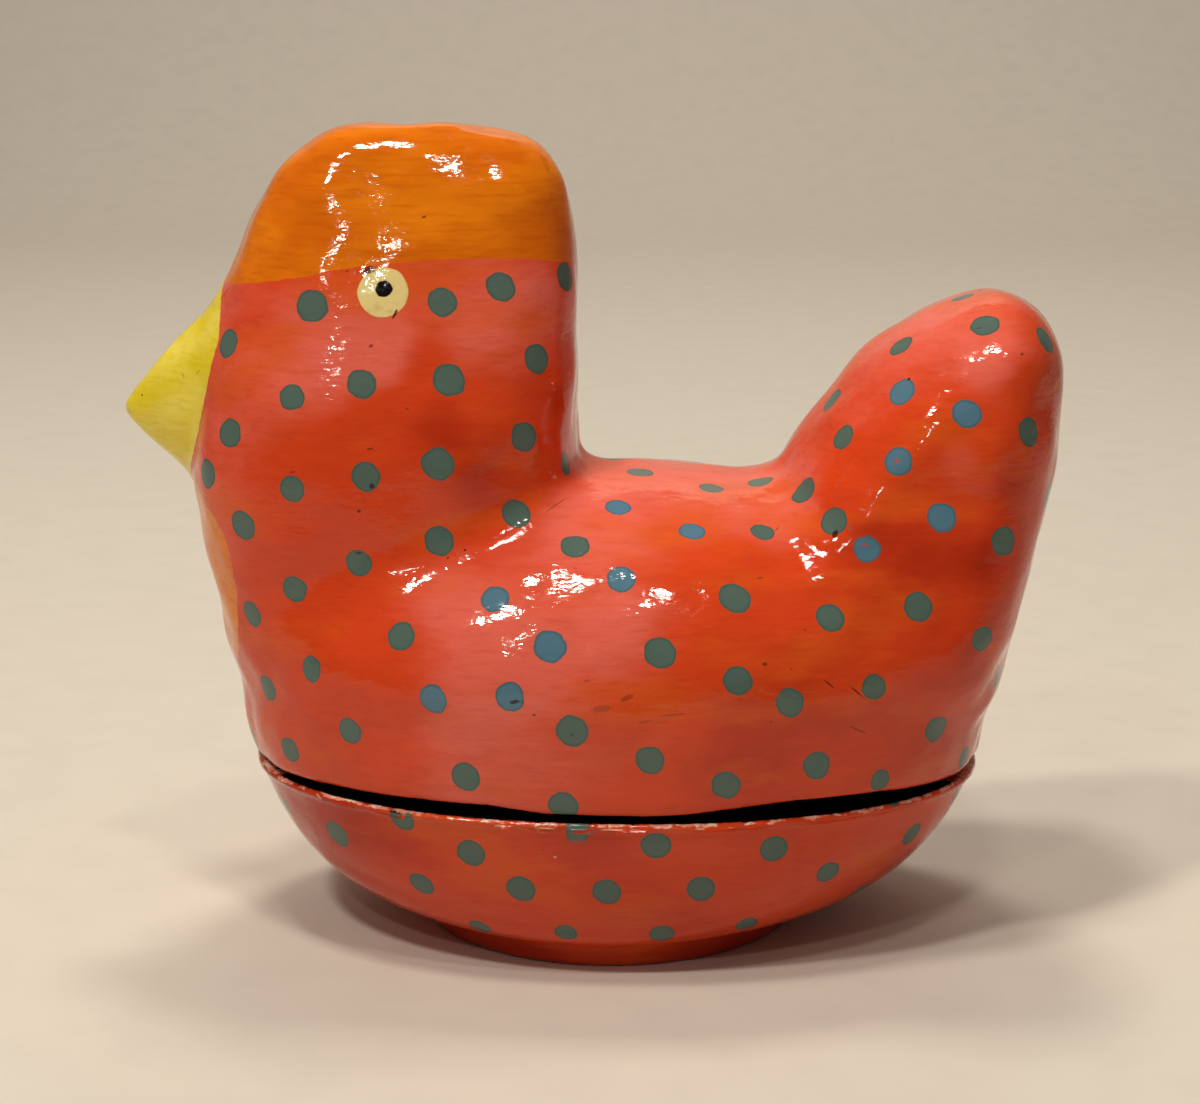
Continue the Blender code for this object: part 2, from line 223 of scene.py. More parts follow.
@dataclass(frozen=True)
class OutlineMap:
    """Depth inside a closed side outline, kept on a fine map that points read from."""

    curve: Array
    margin: float = 20.0 * MM
    step: float = 0.2 * MM

    @cached_property
    def low(self) -> Array:
        """Lowest corner of the map."""
        return self.curve.min(axis=0) - self.margin

    @cached_property
    def depths(self) -> Array:
        """The map itself."""
        x, z = (np.arange(start, end, self.step) for start, end
                in zip(self.low, self.curve.max(axis=0) + self.margin))
        return depth_inside(self.curve, x[:, None], z[None, :])

    def depth(self, x: Array, z: Array) -> Array:
        """Depth at each (x, z), measured straight to the curve beyond the map."""
        x, z = np.broadcast_arrays(x, z)
        depths = self.depths
        places = [(value - start) / self.step for value, start in zip((x, z), self.low)]
        inside = [np.clip(place, 0.0, count - 1.001)
                  for place, count in zip(places, depths.shape)]
        column, row = (place.astype(int) for place in inside)
        across, up = inside[0] - column, inside[1] - row
        lower = depths[column, row] * (1 - across) + depths[column + 1, row] * across
        upper = depths[column, row + 1] * (1 - across) + depths[column + 1, row + 1] * across
        beyond = np.hypot(*(place - kept for place, kept in zip(places, inside)))
        return lower * (1 - up) + upper * up - beyond * self.step


@dataclass(frozen=True)
class HandUnevenness:
    """Shallow lumps that hand-laid paper leaves, as a sum of seeded waves."""

    seed: int = 727
    waves: int = 28
    shortest: float = 4.5 * MM
    longest: float = 20.0 * MM
    height: float = 0.10 * MM

    def __call__(self, x: Array, y: Array, z: Array) -> Array:
        """Height of the lumps at each point."""
        chance = np.random.default_rng(self.seed)
        total = 0.0
        for _ in range(self.waves):
            way = chance.normal(size=3)
            share = chance.random()
            length = self.shortest ** (1 - share) * self.longest ** share
            way *= 2 * math.pi / (length * np.linalg.norm(way))
            size = self.height * (length / self.longest) ** 0.8 / math.sqrt(self.waves / 8)
            phase = chance.random() * 2 * math.pi
            total = total + size * np.sin(way[0] * x + way[1] * y + way[2] * z + phase)
        return total


@dataclass(frozen=True)
class HenForm:
    """The hen's rounded form, as fields that are negative inside it."""

    foot_radius: float = 21.4 * MM
    foot_height: float = 2.8 * MM
    foot_flare: float = 0.5 * MM
    belly_half_length: float = 42.2 * MM
    belly_half_width: float = 29.2 * MM
    belly_level: float = 30.0 * MM
    belly_shift: float = 1.0 * MM
    belly_power: float = 2.1
    plan_power: float = 2.15
    back_level: float = 51.2 * MM
    back_power: float = 2.0
    seam_level: float = 18.5 * MM
    seam_fall: float = 0.0096
    lid_wall: float = 3.0 * MM
    head_length: float = 43.6 * MM
    head_rise: float = 37.5 * MM
    chest_overhang: float = 5.0 * MM
    neck_half_width: float = 18.0 * MM
    comb_half_width: float = 8.0 * MM
    neck_edge: float = 20.0 * MM
    comb_edge: float = 14.0 * MM
    head_power: float = 2.5
    neck_blend: float = 3.8 * MM
    tail_length: float = 33.0 * MM
    tail_rise: float = 19.4 * MM
    rump_overhang: float = 6.5 * MM
    tail_root_half_width: float = 21.0 * MM
    tail_tip_half_width: float = 14.5 * MM
    tail_edge: float = 9.5 * MM
    tail_power: float = 2.0
    tail_blend: float = 4.5 * MM
    beak_reach: float = 12.6 * MM
    beak_tip_level: float = 57.5 * MM
    beak_length: float = 12.5 * MM
    beak_half_angle: float = math.radians(44.0)
    beak_tilt: float = math.radians(2.7)
    beak_flatness: float = 0.66
    beak_bluntness: float = 1.2 * MM
    beak_blend: float = 1.6 * MM
    lid_edge_round: float = 0.9 * MM
    wall_edge_round: float = 0.2 * MM
    lumps: HandUnevenness = HandUnevenness()

    @cached_property
    def head(self) -> OutlineMap:
        """Side outline of head and neck."""
        nape = (self.belly_shift - self.belly_half_length - self.chest_overhang
                + self.head_length)
        return OutlineMap(smooth_curve([(nape - forward * self.head_length,
                                         self.back_level + rise * self.head_rise)
                                        for forward, rise in HEAD_OUTLINE]))

    @cached_property
    def tail(self) -> OutlineMap:
        """Side outline of the tail."""
        root = (self.belly_shift + self.belly_half_length + self.rump_overhang
                - self.tail_length)
        return OutlineMap(smooth_curve([(root + back * self.tail_length,
                                         self.back_level + rise * self.tail_rise)
                                        for back, rise in TAIL_OUTLINE]))

    def opening(self, z: Array, bottom: float) -> Array:
        """How far the bowl has opened at height z: 0 at its bottom, 1 at the widest."""
        fall = np.clip((self.belly_level - z) / (self.belly_level - bottom), 0.0, 1.0)
        return (1.0 - fall ** self.belly_power) ** (1.0 / self.belly_power)

    def belly(self, x: Array, y: Array, z: Array, inset: float) -> Array:
        """The oval body: rounded ovals below its widest level, a dome above it."""
        opened = self.opening(z, self.foot_height)
        half_length = (self.foot_radius - inset
                       + (self.belly_half_length - self.foot_radius) * opened)
        half_width = (self.foot_radius - inset
                      + (self.belly_half_width - self.foot_radius) * opened)
        power = self.plan_power
        plan = ((np.abs(x - self.belly_shift * opened) / half_length) ** power
                + (np.abs(y) / half_width) ** power) ** (1.0 / power)
        dome = self.back_level - self.belly_level - inset
        rise = np.maximum(z - self.belly_level, 0.0) / dome
        power = self.back_power
        return ((plan ** power + rise ** power) ** (1.0 / power) - 1.0) * half_width

    @staticmethod
    def slab(depth: Array, y: Array, half_width: Array, edge: Array, power: float) -> Array:
        """A slab with a given side outline, rounded towards that outline.

        Args:
            depth: Distance inside the outline.
            y: Distance from the middle plane.
            half_width: Half the slab's width well inside the outline.
            edge: Depth over which the slab rounds off.
            power: How square the rounding is.

        Returns:
            Values that are negative inside the slab.
        """
        inward = np.maximum(0.0, 1.0 - depth / edge)
        size = (inward ** power + (np.abs(y) / half_width) ** power) ** (1.0 / power)
        return (size - 1.0) * np.minimum(half_width, edge)

    def head_slab(self, x: Array, y: Array, z: Array, inset: float) -> Array:
        """Head, neck and comb, thinner towards the comb's top."""
        share = ease((z - self.back_level) / self.head_rise)
        half_width = self.neck_half_width + (self.comb_half_width
                                             - self.neck_half_width) * share - inset
        edge = self.neck_edge + (self.comb_edge - self.neck_edge) * share - inset
        depth = self.head.depth(x, z) - inset
        return self.slab(depth, y, half_width, edge, self.head_power)

    def tail_slab(self, x: Array, y: Array, z: Array, inset: float) -> Array:
        """The tail, thinner towards its tip."""
        share = ease((z - self.back_level + self.tail_rise) / (2 * self.tail_rise))
        half_width = self.tail_root_half_width + (
            self.tail_tip_half_width - self.tail_root_half_width) * share - inset
        depth = self.tail.depth(x, z) - inset
        return self.slab(depth, y, half_width, self.tail_edge - inset, self.tail_power)

    def beak(self, x: Array, y: Array, z: Array) -> Array:
        """A blunt cone that points forward from the face."""
        ahead = x - (self.belly_shift - self.belly_half_length - self.beak_reach)
        above = z - self.beak_tip_level
        along = ahead * math.cos(self.beak_tilt) + above * math.sin(self.beak_tilt)
        across = above * math.cos(self.beak_tilt) - ahead * math.sin(self.beak_tilt)
        slope = math.tan(self.beak_half_angle)
        reach = along * slope + self.beak_bluntness
        radius = np.sqrt(across ** 2 + (y / self.beak_flatness) ** 2
                         + self.beak_bluntness ** 2)
        cone = (radius - reach) * math.cos(self.beak_half_angle)
        return np.maximum(cone, along - self.beak_length)

    def body(self, x: Array, y: Array, z: Array, inset: float = 0.0) -> Array:
        """Skin of body, neck and tail without the beak, set in by a wall's thickness."""
        whole = join(self.belly(x, y, z, inset), self.head_slab(x, y, z, inset),
                     self.neck_blend)
        return join(whole, self.tail_slab(x, y, z, inset), self.tail_blend)

    def seam_height(self, x: Array) -> Array:
        """Height of the bowl's rim at x."""
        return self.seam_level - self.seam_fall * x

    def lid_edge(self, x: Array, y: Array) -> Array:
        """Height of the lid's wavy lower edge."""
        turn = np.degrees(np.arctan2(y, x - self.belly_shift)) % 360.0
        angles, lifts = np.array(LID_EDGE_LIFTS).T
        lift = np.interp(turn, angles, lifts, period=360.0) * MM
        return self.seam_height(x) + lift

    def lid(self, x: Array, y: Array, z: Array) -> Array:
        """The hollow lid with its beak and its lower edge."""
        skin = join(self.body(x, y, z), self.beak(x, y, z), self.beak_blend)
        skin = skin + self.lumps(x, y, z)
        shell = overlap(skin, -self.body(x, y, z, self.lid_wall),
                        self.wall_edge_round)
        return overlap(shell, self.lid_edge(x, y) - z, self.lid_edge_round)


def slope_of(shape: Field, spots: Array, step: float) -> Array:
    """Gradient of the field at each spot, by central differences."""
    slopes = []
    for axis in range(3):
        shift = np.zeros(3)
        shift[axis] = step
        slopes.append((shape(*(spots + shift).T) - shape(*(spots - shift).T)) / (2 * step))
    return np.stack(slopes, axis=1)


@dataclass(frozen=True)
class SkinMesher:
    """Meshes the surface where a field is zero, with one point in each cell."""

    spacing: float = 0.62 * MM
    rounds: int = 2
    margin: float = 1.5
    probe: float = 0.05

    def settle(self, shape: Field, spots: Array) -> Array:
        """Moves each spot along the gradient on to the surface."""
        for _ in range(self.rounds):
            slope = slope_of(shape, spots, self.probe * self.spacing)
            square = np.maximum(np.einsum("ij,ij->i", slope, slope), 1e-9)
            move = -shape(*spots.T)[:, None] * slope / square[:, None]
            length = np.linalg.norm(move, axis=1, keepdims=True)
            spots = spots + move * np.minimum(1.0, self.spacing / np.maximum(length, 1e-12))
        return spots

    def mesh(self, shape: Field, low: Array, high: Array) -> tuple[Array, Array]:
        """Meshes the field between two corners.

        Args:
            shape: Field that is negative inside.
            low: Lowest corner of the box to search.
            high: Highest corner of it.

        Returns:
            The vertices, and the quads as rows of four vertex numbers.
        """
        step = self.spacing
        counts = np.ceil((high - low) / step).astype(int) + 2 * math.ceil(self.margin)
        start = low - self.margin * step
        axes = [first + step * np.arange(count) for first, count in zip(start, counts)]
        values = shape(*np.meshgrid(*axes, indexing="ij", sparse=True))
        solid = values < 0.0
        cells = tuple(int(count) - 1 for count in counts)
        corners = [(i, j, k) for i in (0, 1) for j in (0, 1) for k in (0, 1)]

        def corner_of(array: Array, corner: tuple[int, ...]) -> Array:
            return array[tuple(slice(c, c + n) for c, n in zip(corner, cells))]

        filled = sum(corner_of(solid, corner).astype(np.int8) for corner in corners)
        mixed = (filled > 0) & (filled < len(corners))
        origin = np.argwhere(mixed)
        total = np.zeros((len(origin), 3))
        hits = np.zeros(len(origin))
        for first in corners:
            for axis in range(3):
                if first[axis]:
                    continue
                second = tuple(c + (n == axis) for n, c in enumerate(first))
                v1, v2 = corner_of(values, first)[mixed], corner_of(values, second)[mixed]
                crossed = (v1 < 0.0) != (v2 < 0.0)
                share = np.where(crossed, v1 / np.where(crossed, v1 - v2, 1.0), 0.0)
                for n in range(3):
                    place = first[n] + (share if n == axis else 0.0)
                    total[:, n] += np.where(crossed, place, 0.0)
                hits += crossed
        index = np.full(cells, -1)
        index[mixed] = np.arange(len(origin))
        spots = start + step * (origin + total / hits[:, None])
        return self.settle(shape, spots), self.quads(solid, index, cells)

    @staticmethod
    def quads(solid: Array, index: Array, cells: tuple[int, ...]) -> Array:
        """Joins the points of the four cells round each grid edge that is crossed."""
        faces = []
        for axis in range(3):
            side, up = (axis + 1) % 3, (axis + 2) % 3
            here = [slice(1, n) for n in cells]
            here[axis] = slice(0, cells[axis])
            there = list(here)
            there[axis] = slice(1, cells[axis] + 1)
            now, then = solid[tuple(here)], solid[tuple(there)]
            for leaving in (True, False):
                edges = np.argwhere(now & ~then if leaving else ~now & then)
                edges = edges + np.array([0 if n == axis else 1 for n in range(3)])
                ring = []
                for back_side, back_up in ((1, 1), (0, 1), (0, 0), (1, 0)):
                    cell = edges.copy()
                    cell[:, side] -= back_side
                    cell[:, up] -= back_up
                    ring.append(index[tuple(cell.T)])
                quads = np.stack(ring, axis=1)
                faces.append(quads if leaving else quads[:, ::-1])
        return np.concatenate(faces)


@dataclass(frozen=True)
class PhotoCamera:
    """Where the photograph was taken from, with its frame in pixels."""

    frame_width: int = 1200
    frame_height: int = 1104
    focal_pixels: float = 2600.0
    sensor_width: float = 36.0
    place: Point = (-1.12 * MM, -285.1 * MM, 104.7 * MM)
    look_down: float = math.radians(12.58)

    @property
    def turn(self) -> Matrix:
        """Rotation from the camera's axes to the frame's."""
        return Matrix.Rotation(math.pi / 2 - self.look_down, 3, "X")

    def ray(self, pixel: Pixel) -> Vector:
        """Direction from the camera through a pixel of the photograph."""
        across = pixel[0] - self.frame_width / 2
        up = self.frame_height / 2 - pixel[1]
        return (self.turn @ Vector((across, up, -self.focal_pixels))).normalized()

    def pixel_at(self, spot: Array) -> float:
        """Width that one pixel of the photograph covers at a point."""
        ahead = self.turn @ Vector((0.0, 0.0, -1.0))
        return float((spot - np.array(self.place)) @ np.array(ahead)) / self.focal_pixels

    def build(self) -> bpy.types.Object:
        """Adds the camera to the scene and looks through it."""
        data = bpy.data.cameras.new("photo_camera")
        data.sensor_width = self.sensor_width
        data.lens = self.focal_pixels * self.sensor_width / self.frame_width
        data.clip_start = 10 * MM
        camera = bpy.data.objects.new("photo_camera", data)
        camera.matrix_world = Matrix.Translation(self.place) @ self.turn.to_4x4()
        bpy.context.scene.collection.objects.link(camera)
        bpy.context.scene.camera = camera
        return camera


@dataclass
class Surface:
    """A piece's mesh as arrays, with the outward normal at each vertex."""

    spots: Array
    faces: list[list[int]]
    normals: Array
    places: dict[Place, Array] = field(default_factory=dict)

    @cached_property
    def tree(self) -> BVHTree:
        """Search tree over the faces."""
        return BVHTree.FromPolygons(self.spots.tolist(), self.faces)

    def hit(self, camera: PhotoCamera, pixel: Pixel) -> tuple[Array, Array] | None:
        """Point and normal where a pixel of the photograph meets the surface.

        Args:
            camera: The photograph's camera.
            pixel: Column and row.

        Returns:
            The point and the outward normal there, or None where the pixel misses.
        """
        place, normal, _, _ = self.tree.ray_cast(Vector(camera.place), camera.ray(pixel))
        if place is None:
            return None
        return np.array(place), np.array(normal)

    def hit_near(self, camera: PhotoCamera, pixel: Pixel, middle: Pixel,
                 moves: int = 201) -> tuple[Array, Array]:
        """As hit, but a pixel that misses moves towards a middle pixel until it meets."""
        for share in np.linspace(0.0, 1.0, moves):
            moved = (pixel[0] + (middle[0] - pixel[0]) * share,
                     pixel[1] + (middle[1] - pixel[1]) * share)
            found = self.hit(camera, moved)
            if found is not None:
                return found
        raise ValueError(f"no surface under pixel {pixel}")

    def hidden_from(self, camera: PhotoCamera, clearance: float = 0.3 * MM,
                    grazing: float = 0.12) -> Array:
        """Which vertices the camera doesn't see, or sees only at a grazing angle."""
        eye = np.array(camera.place)
        away = self.spots - eye
        reach = np.linalg.norm(away, axis=1)
        turned = np.einsum("ij,ij->i", away, self.normals) > -grazing * reach
        hidden = turned.copy()
        for n in np.flatnonzero(~turned):
            way = Vector(away[n] / reach[n])
            _, _, _, distance = self.tree.ray_cast(Vector(eye), way)
            hidden[n] = distance is not None and distance < reach[n] - clearance
        return hidden

    def build(self, name: str, material: bpy.types.Material) -> bpy.types.Object:
        """Makes the object, with its paint places as attributes.

        Args:
            name: Name of the piece.
            material: Its finish.

        Returns:
            The object, linked to the scene.
        """
        mesh = bpy.data.meshes.new(name)
        mesh.from_pydata(self.spots.tolist(), [], self.faces)
        mesh.validate()
        for place, values in self.places.items():
            if values.ndim == 1:
                layer = mesh.attributes.new(place.value, "FLOAT", "POINT")
                layer.data.foreach_set("value", values.astype(np.float32))
            else:
                layer = mesh.attributes.new(place.value, "FLOAT_VECTOR", "POINT")
                layer.data.foreach_set("vector", values.astype(np.float32).ravel())
        mesh.shade_smooth()
        mesh.materials.append(material)
        thing = bpy.data.objects.new(name, mesh)
        bpy.context.scene.collection.objects.link(thing)
        return thing


@dataclass(frozen=True)
class PaintedSpot:
    """A spot of paint: its middle, normal, half sizes, turn, tint and strength."""

    middle: Array
    normal: Array
    half_length: float
    half_width: float
    turn: float = 0.0
    tint: float = 0.0
    strength: float = 1.0

    def axes(self) -> tuple[Array, Array]:
        """Level and upward directions in the surface, turned by the spot's own turn."""
        level = np.cross((0.0, 0.0, 1.0), self.normal)
        if np.linalg.norm(level) < 1e-3:
            level = np.array((1.0, 0.0, 0.0))
        level = level / np.linalg.norm(level)
        rising = np.cross(self.normal, level)
        along = level * math.cos(self.turn) + rising * math.sin(self.turn)
        return along, np.cross(self.normal, along)


def spot_places(surface: Surface, spots: Sequence[PaintedSpot],
                guard: float, gap: float) -> tuple[Array, Array]:
    """Where each vertex lies from its nearest spot of paint, in the spot's half sizes.

    Args:
        surface: The surface that is painted.
        spots: The spots on it.
        guard: Distance from a spot, in half lengths, up to which its paint may show,
            though never less than MESH_REACH.
        gap: Outside the spots, how much nearer than the next spot one has to be to show.

    Returns:
        Rows of distance along, distance across and the spot's strength, 0 away from it,
        and the nearest spot's tint.
    """
    places = np.zeros((len(surface.spots), 3))
    tints = np.zeros(len(surface.spots))
    nearest = np.full(len(surface.spots), np.inf)
    second = nearest.copy()
    for spot in spots:
        offset = surface.spots - spot.middle
        distance = np.linalg.norm(offset, axis=1)
        facing = surface.normals @ spot.normal > FACING
        closer = (distance < nearest) & facing
        second = np.where(closer, nearest, np.where(facing, np.minimum(second, distance),
                                                    second))
        along, across = spot.axes()
        places[closer, 0] = offset[closer] @ along / spot.half_length
        places[closer, 1] = offset[closer] @ across / spot.half_width
        reach = max(guard * spot.half_length, MESH_REACH)
        places[closer, 2] = np.where(distance[closer] < reach, spot.strength, 0.0)
        tints[closer] = spot.tint
        nearest[closer] = distance[closer]
    bare = np.hypot(places[:, 0], places[:, 1]) > BARE_RADIUS
    places[bare & (second - nearest < gap), 2] = 0.0
    return places, tints


@dataclass(frozen=True)
class DotPattern:
    """Hand-painted dots: those that the photograph shows, and more on the hidden sides."""

    seen: dict[DotSize, tuple[Pixel, ...]]
    # Seen dots painted bluer, partly for their own paint and partly as painted reflection of
    # the light
    bluer: tuple[Pixel, ...]
    middle: Pixel
    spacing: float = 8.7 * MM
    hidden_radius: float = 1.55 * MM
    longer: float = 1.035
    lean: float = math.radians(135.0)
    seed: int = 4
    guard: float = 1.7
    room_spread: tuple[float, float] = (0.85, 1.0)
    size_spread: tuple[float, float] = (0.88, 1.1)
    blue_share: float = 0.2

    def seen_dots(self, surface: Surface, camera: PhotoCamera) -> list[PaintedSpot]:
        """The dots at the places and sizes that the photograph shows."""
        dots = []
        for size, pixels in self.seen.items():
            for pixel in pixels:
                middle, normal = surface.hit_near(camera, pixel, self.middle)
                radius = 0.5 * size.value * camera.pixel_at(middle)
                dots.append(PaintedSpot(middle, normal, radius * self.longer,
                                        radius / self.longer, self.lean,
                                        float(pixel in self.bluer)))
        return dots

    def paint(self, surface: Surface, camera: PhotoCamera, bare: Array) -> int:
        """Writes the dots' places on the surface.

        Args:
            surface: The surface that is painted.
            camera: The photograph's camera.
            bare: Which vertices take no dot of the hidden sides.

        Returns:
            How many dots there are.
        """
        dots = self.seen_dots(surface, camera)
        chance = np.random.default_rng(self.seed)
        free = surface.hidden_from(camera) & ~bare
        room = np.full(len(surface.spots), np.inf)
        for dot in dots:
            room = np.minimum(room, np.linalg.norm(surface.spots - dot.middle, axis=1))
        while True:
            room[~free] = 0.0
            n = int(np.argmax(room * chance.uniform(*self.room_spread, len(room))))
            if room[n] < self.spacing:
                break
            radius = self.hidden_radius * chance.uniform(*self.size_spread)
            dots.append(PaintedSpot(surface.spots[n], surface.normals[n],
                                    radius * self.longer, radius / self.longer, self.lean,
                                    float(chance.random() < self.blue_share)))
            room = np.minimum(room, np.linalg.norm(surface.spots - surface.spots[n], axis=1))
        surface.places[Place.DOT], surface.places[Place.DOT_TINT] = spot_places(
            surface, dots, self.guard, DOT_GAP)
        return len(dots)


@dataclass(frozen=True)
class Mark:
    """A speck, scratch, smudge or line of painted shade at a pixel of the photograph."""

    column: float
    row: float
    length: float
    width: float
    turn: float = 0.0
    strength: float = 0.9
    tone: Tone = Tone.DARK


def paint_marks(surface: Surface, camera: PhotoCamera, marks: Sequence[Mark]) -> None:
    """Writes where the marks lie on the surface.

    Args:
        surface: The surface that is marked.
        camera: The photograph's camera.
        marks: The marks.
    """
    spots = []
    for mark in marks:
        found = surface.hit(camera, (mark.column, mark.row))
        if found is not None:
            half = 0.5 * camera.pixel_at(found[0])
            spots.append(PaintedSpot(*found, mark.length * half, mark.width * half,
                                     math.radians(mark.turn), mark.tone.value,
                                     mark.strength))
    surface.places[Place.MARK], surface.places[Place.MARK_TONE] = spot_places(
        surface, spots, MARK_GUARD, MARK_GAP)


@dataclass(frozen=True)
class TonePatch:
    """A broad patch where the red turns pinker, more orange or deeper; the pink patches are
    partly painted sheen, and the darker ones are painted shade.
    """

    column: float
    row: float
    reach: float
    tone: Tone


def tone_drift(surface: Surface, seed: int) -> Array:
    """Broad seeded drift of the red's tone over a surface."""
    drift = HandUnevenness(seed=seed, shortest=14 * MM, longest=45 * MM, height=0.30)
    return drift(*surface.spots.T)


@dataclass
class HenLid:
    """The hen: one hollow shell with head, comb, beak and tail, painted all over."""

    form: HenForm
    camera: PhotoCamera
    mesher: SkinMesher
    name: str = "hen_lid_painted"
    middle: Pixel = (600.0, 600.0)
    comb_border: tuple[Pixel, ...] = (
        (229, 283), (286, 279), (332, 271), (385, 264), (432, 259), (498, 258), (541, 259),
        (568, 262),
    )
    beak_border: tuple[Pixel, ...] = ((222, 290), (219, 336), (198, 434), (190, 471))
    wattle_border: tuple[Pixel, ...] = (
        (197, 484), (213, 515), (225, 536), (231, 559), (236, 589), (238, 619), (239, 647),
        (236, 664),
    )
    eye: Pixel = (383, 292)
    eye_radius: float = 2.72 * MM
    edge_paint: float = 0.15 * MM
    # Painted sheen: how much pinker the red turns where the surface faces up
    painted_top_sheen: float = 0.5
    dot_gap_comb: float = 2.4
    dot_gap_paint: float = 2.2
    dot_gap_black: float = 1.2
    dot_gap_eye: float = 1.9

    def mesh(self) -> Surface:
        """Meshes the shell from its field."""
        form = self.form
        half = form.belly_half_length
        low = np.array((form.belly_shift - half - form.beak_reach,
                        -form.belly_half_width, form.seam_level - 1.0 * MM))
        high = np.array((form.belly_shift + half + form.rump_overhang,
                         form.belly_half_width, form.back_level + form.head_rise))
        spots, faces = self.mesher.mesh(form.lid, low, high)
        slope = slope_of(form.lid, spots, 0.1 * MM)
        normals = slope / np.linalg.norm(slope, axis=1, keepdims=True)
        return Surface(spots, faces.tolist(), normals)

    def border(self, surface: Surface, pixels: Sequence[Pixel]) -> Array:
        """Points of the surface under a row of the photograph's pixels."""
        return np.array([surface.hit_near(self.camera, pixel, self.middle)[0]
                         for pixel in pixels])

    def mark_areas(self, surface: Surface) -> None:
        """Writes how far each vertex lies inside the comb, beak, wattle and black, in mm."""
        x, y, z = surface.spots.T
        comb = self.border(surface, self.comb_border)
        surface.places[Place.COMB] = (z - np.interp(x, comb[:, 0], comb[:, 2])) / MM

        beak = self.border(surface, self.beak_border)[::-1]
        inside = np.interp(z, beak[:, 2], beak[:, 0]) - x
        surface.places[Place.BEAK] = inside / MM

        wattle = self.border(surface, self.wattle_border)[::-1]
        half_width = np.interp(z, wattle[:, 2], -wattle[:, 1])
        top, bottom = wattle[-1, 2], wattle[0, 2]
        inside = np.minimum(half_width - np.abs(y), np.minimum(top - z, z - bottom))
        ahead = x < self.form.belly_shift - 0.5 * self.form.belly_half_length
        surface.places[Place.WATTLE] = np.where(ahead, inside / MM, FAR_OUTSIDE)

        inner_half = -self.form.body(x, y, z, 0.5 * self.form.lid_wall)
        under = self.form.lid_edge(x, y) + self.edge_paint - z
        surface.places[Place.BLACK] = np.maximum(inner_half, under) / MM

    def mark_eyes(self, surface: Surface) -> None:
        """Writes where each vertex lies from the eye on its own side."""
        middle, normal = surface.hit_near(self.camera, self.eye, self.middle)
        other = middle * np.array((1.0, -1.0, 1.0))
        eyes = [PaintedSpot(middle, normal, self.eye_radius, self.eye_radius),
                PaintedSpot(other, normal * np.array((1.0, -1.0, 1.0)),
                            self.eye_radius, self.eye_radius)]
        surface.places[Place.EYE], _ = spot_places(surface, eyes, EYE_GUARD, 0.0)

    def mark_tones(self, surface: Surface, patches: Sequence[TonePatch]) -> None:
        """Writes how pink or deep the red is: patches, a broad drift, and painted sheen that
        makes it pinker on top.
        """
        # The pinker tone on surfaces that face up is painted sheen.
        tone = tone_drift(surface, seed=7) + self.painted_top_sheen * surface.normals[:, 2].clip(0)
        for patch in patches:
            found = surface.hit_near(self.camera, (patch.column, patch.row), self.middle)
            reach = patch.reach * self.camera.pixel_at(found[0])
            gap = np.linalg.norm(surface.spots - found[0], axis=1) / reach
            tone = tone + patch.tone.value * np.exp(-gap ** 2)
        surface.places[Place.TONE] = tone

    def build(self, material: bpy.types.Material, dots: DotPattern, marks: Sequence[Mark],
              patches: Sequence[TonePatch]) -> bpy.types.Object:
        """Builds the painted lid.

        Args:
            material: The hen's finish.
            dots: The dot pattern.
            marks: Specks, scratches and smudges.
            patches: Patches where the red changes.

        Returns:
            The lid.
        """
        surface = self.mesh()
        self.mark_areas(surface)
        self.mark_eyes(surface)
        self.mark_tones(surface, patches)
        places = surface.places
        eye_gap = np.linalg.norm(places[Place.EYE][:, :2], axis=1)
        bare = (places[Place.EYE][:, 2] > 0) | (eye_gap < self.dot_gap_eye)
        for place, gap in ((Place.COMB, self.dot_gap_comb), (Place.BEAK, self.dot_gap_paint),
                           (Place.WATTLE, self.dot_gap_paint),
                           (Place.BLACK, self.dot_gap_black)):
            bare |= places[place] > -gap
        count = dots.paint(surface, self.camera, bare)
        paint_marks(surface, self.camera, marks)
        lid = surface.build(self.name, material)
        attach(lid, "root")
        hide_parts("hen_lid")
        LOG.info("%s: %d faces, %d dots", self.name, len(surface.faces), count)
        return lid


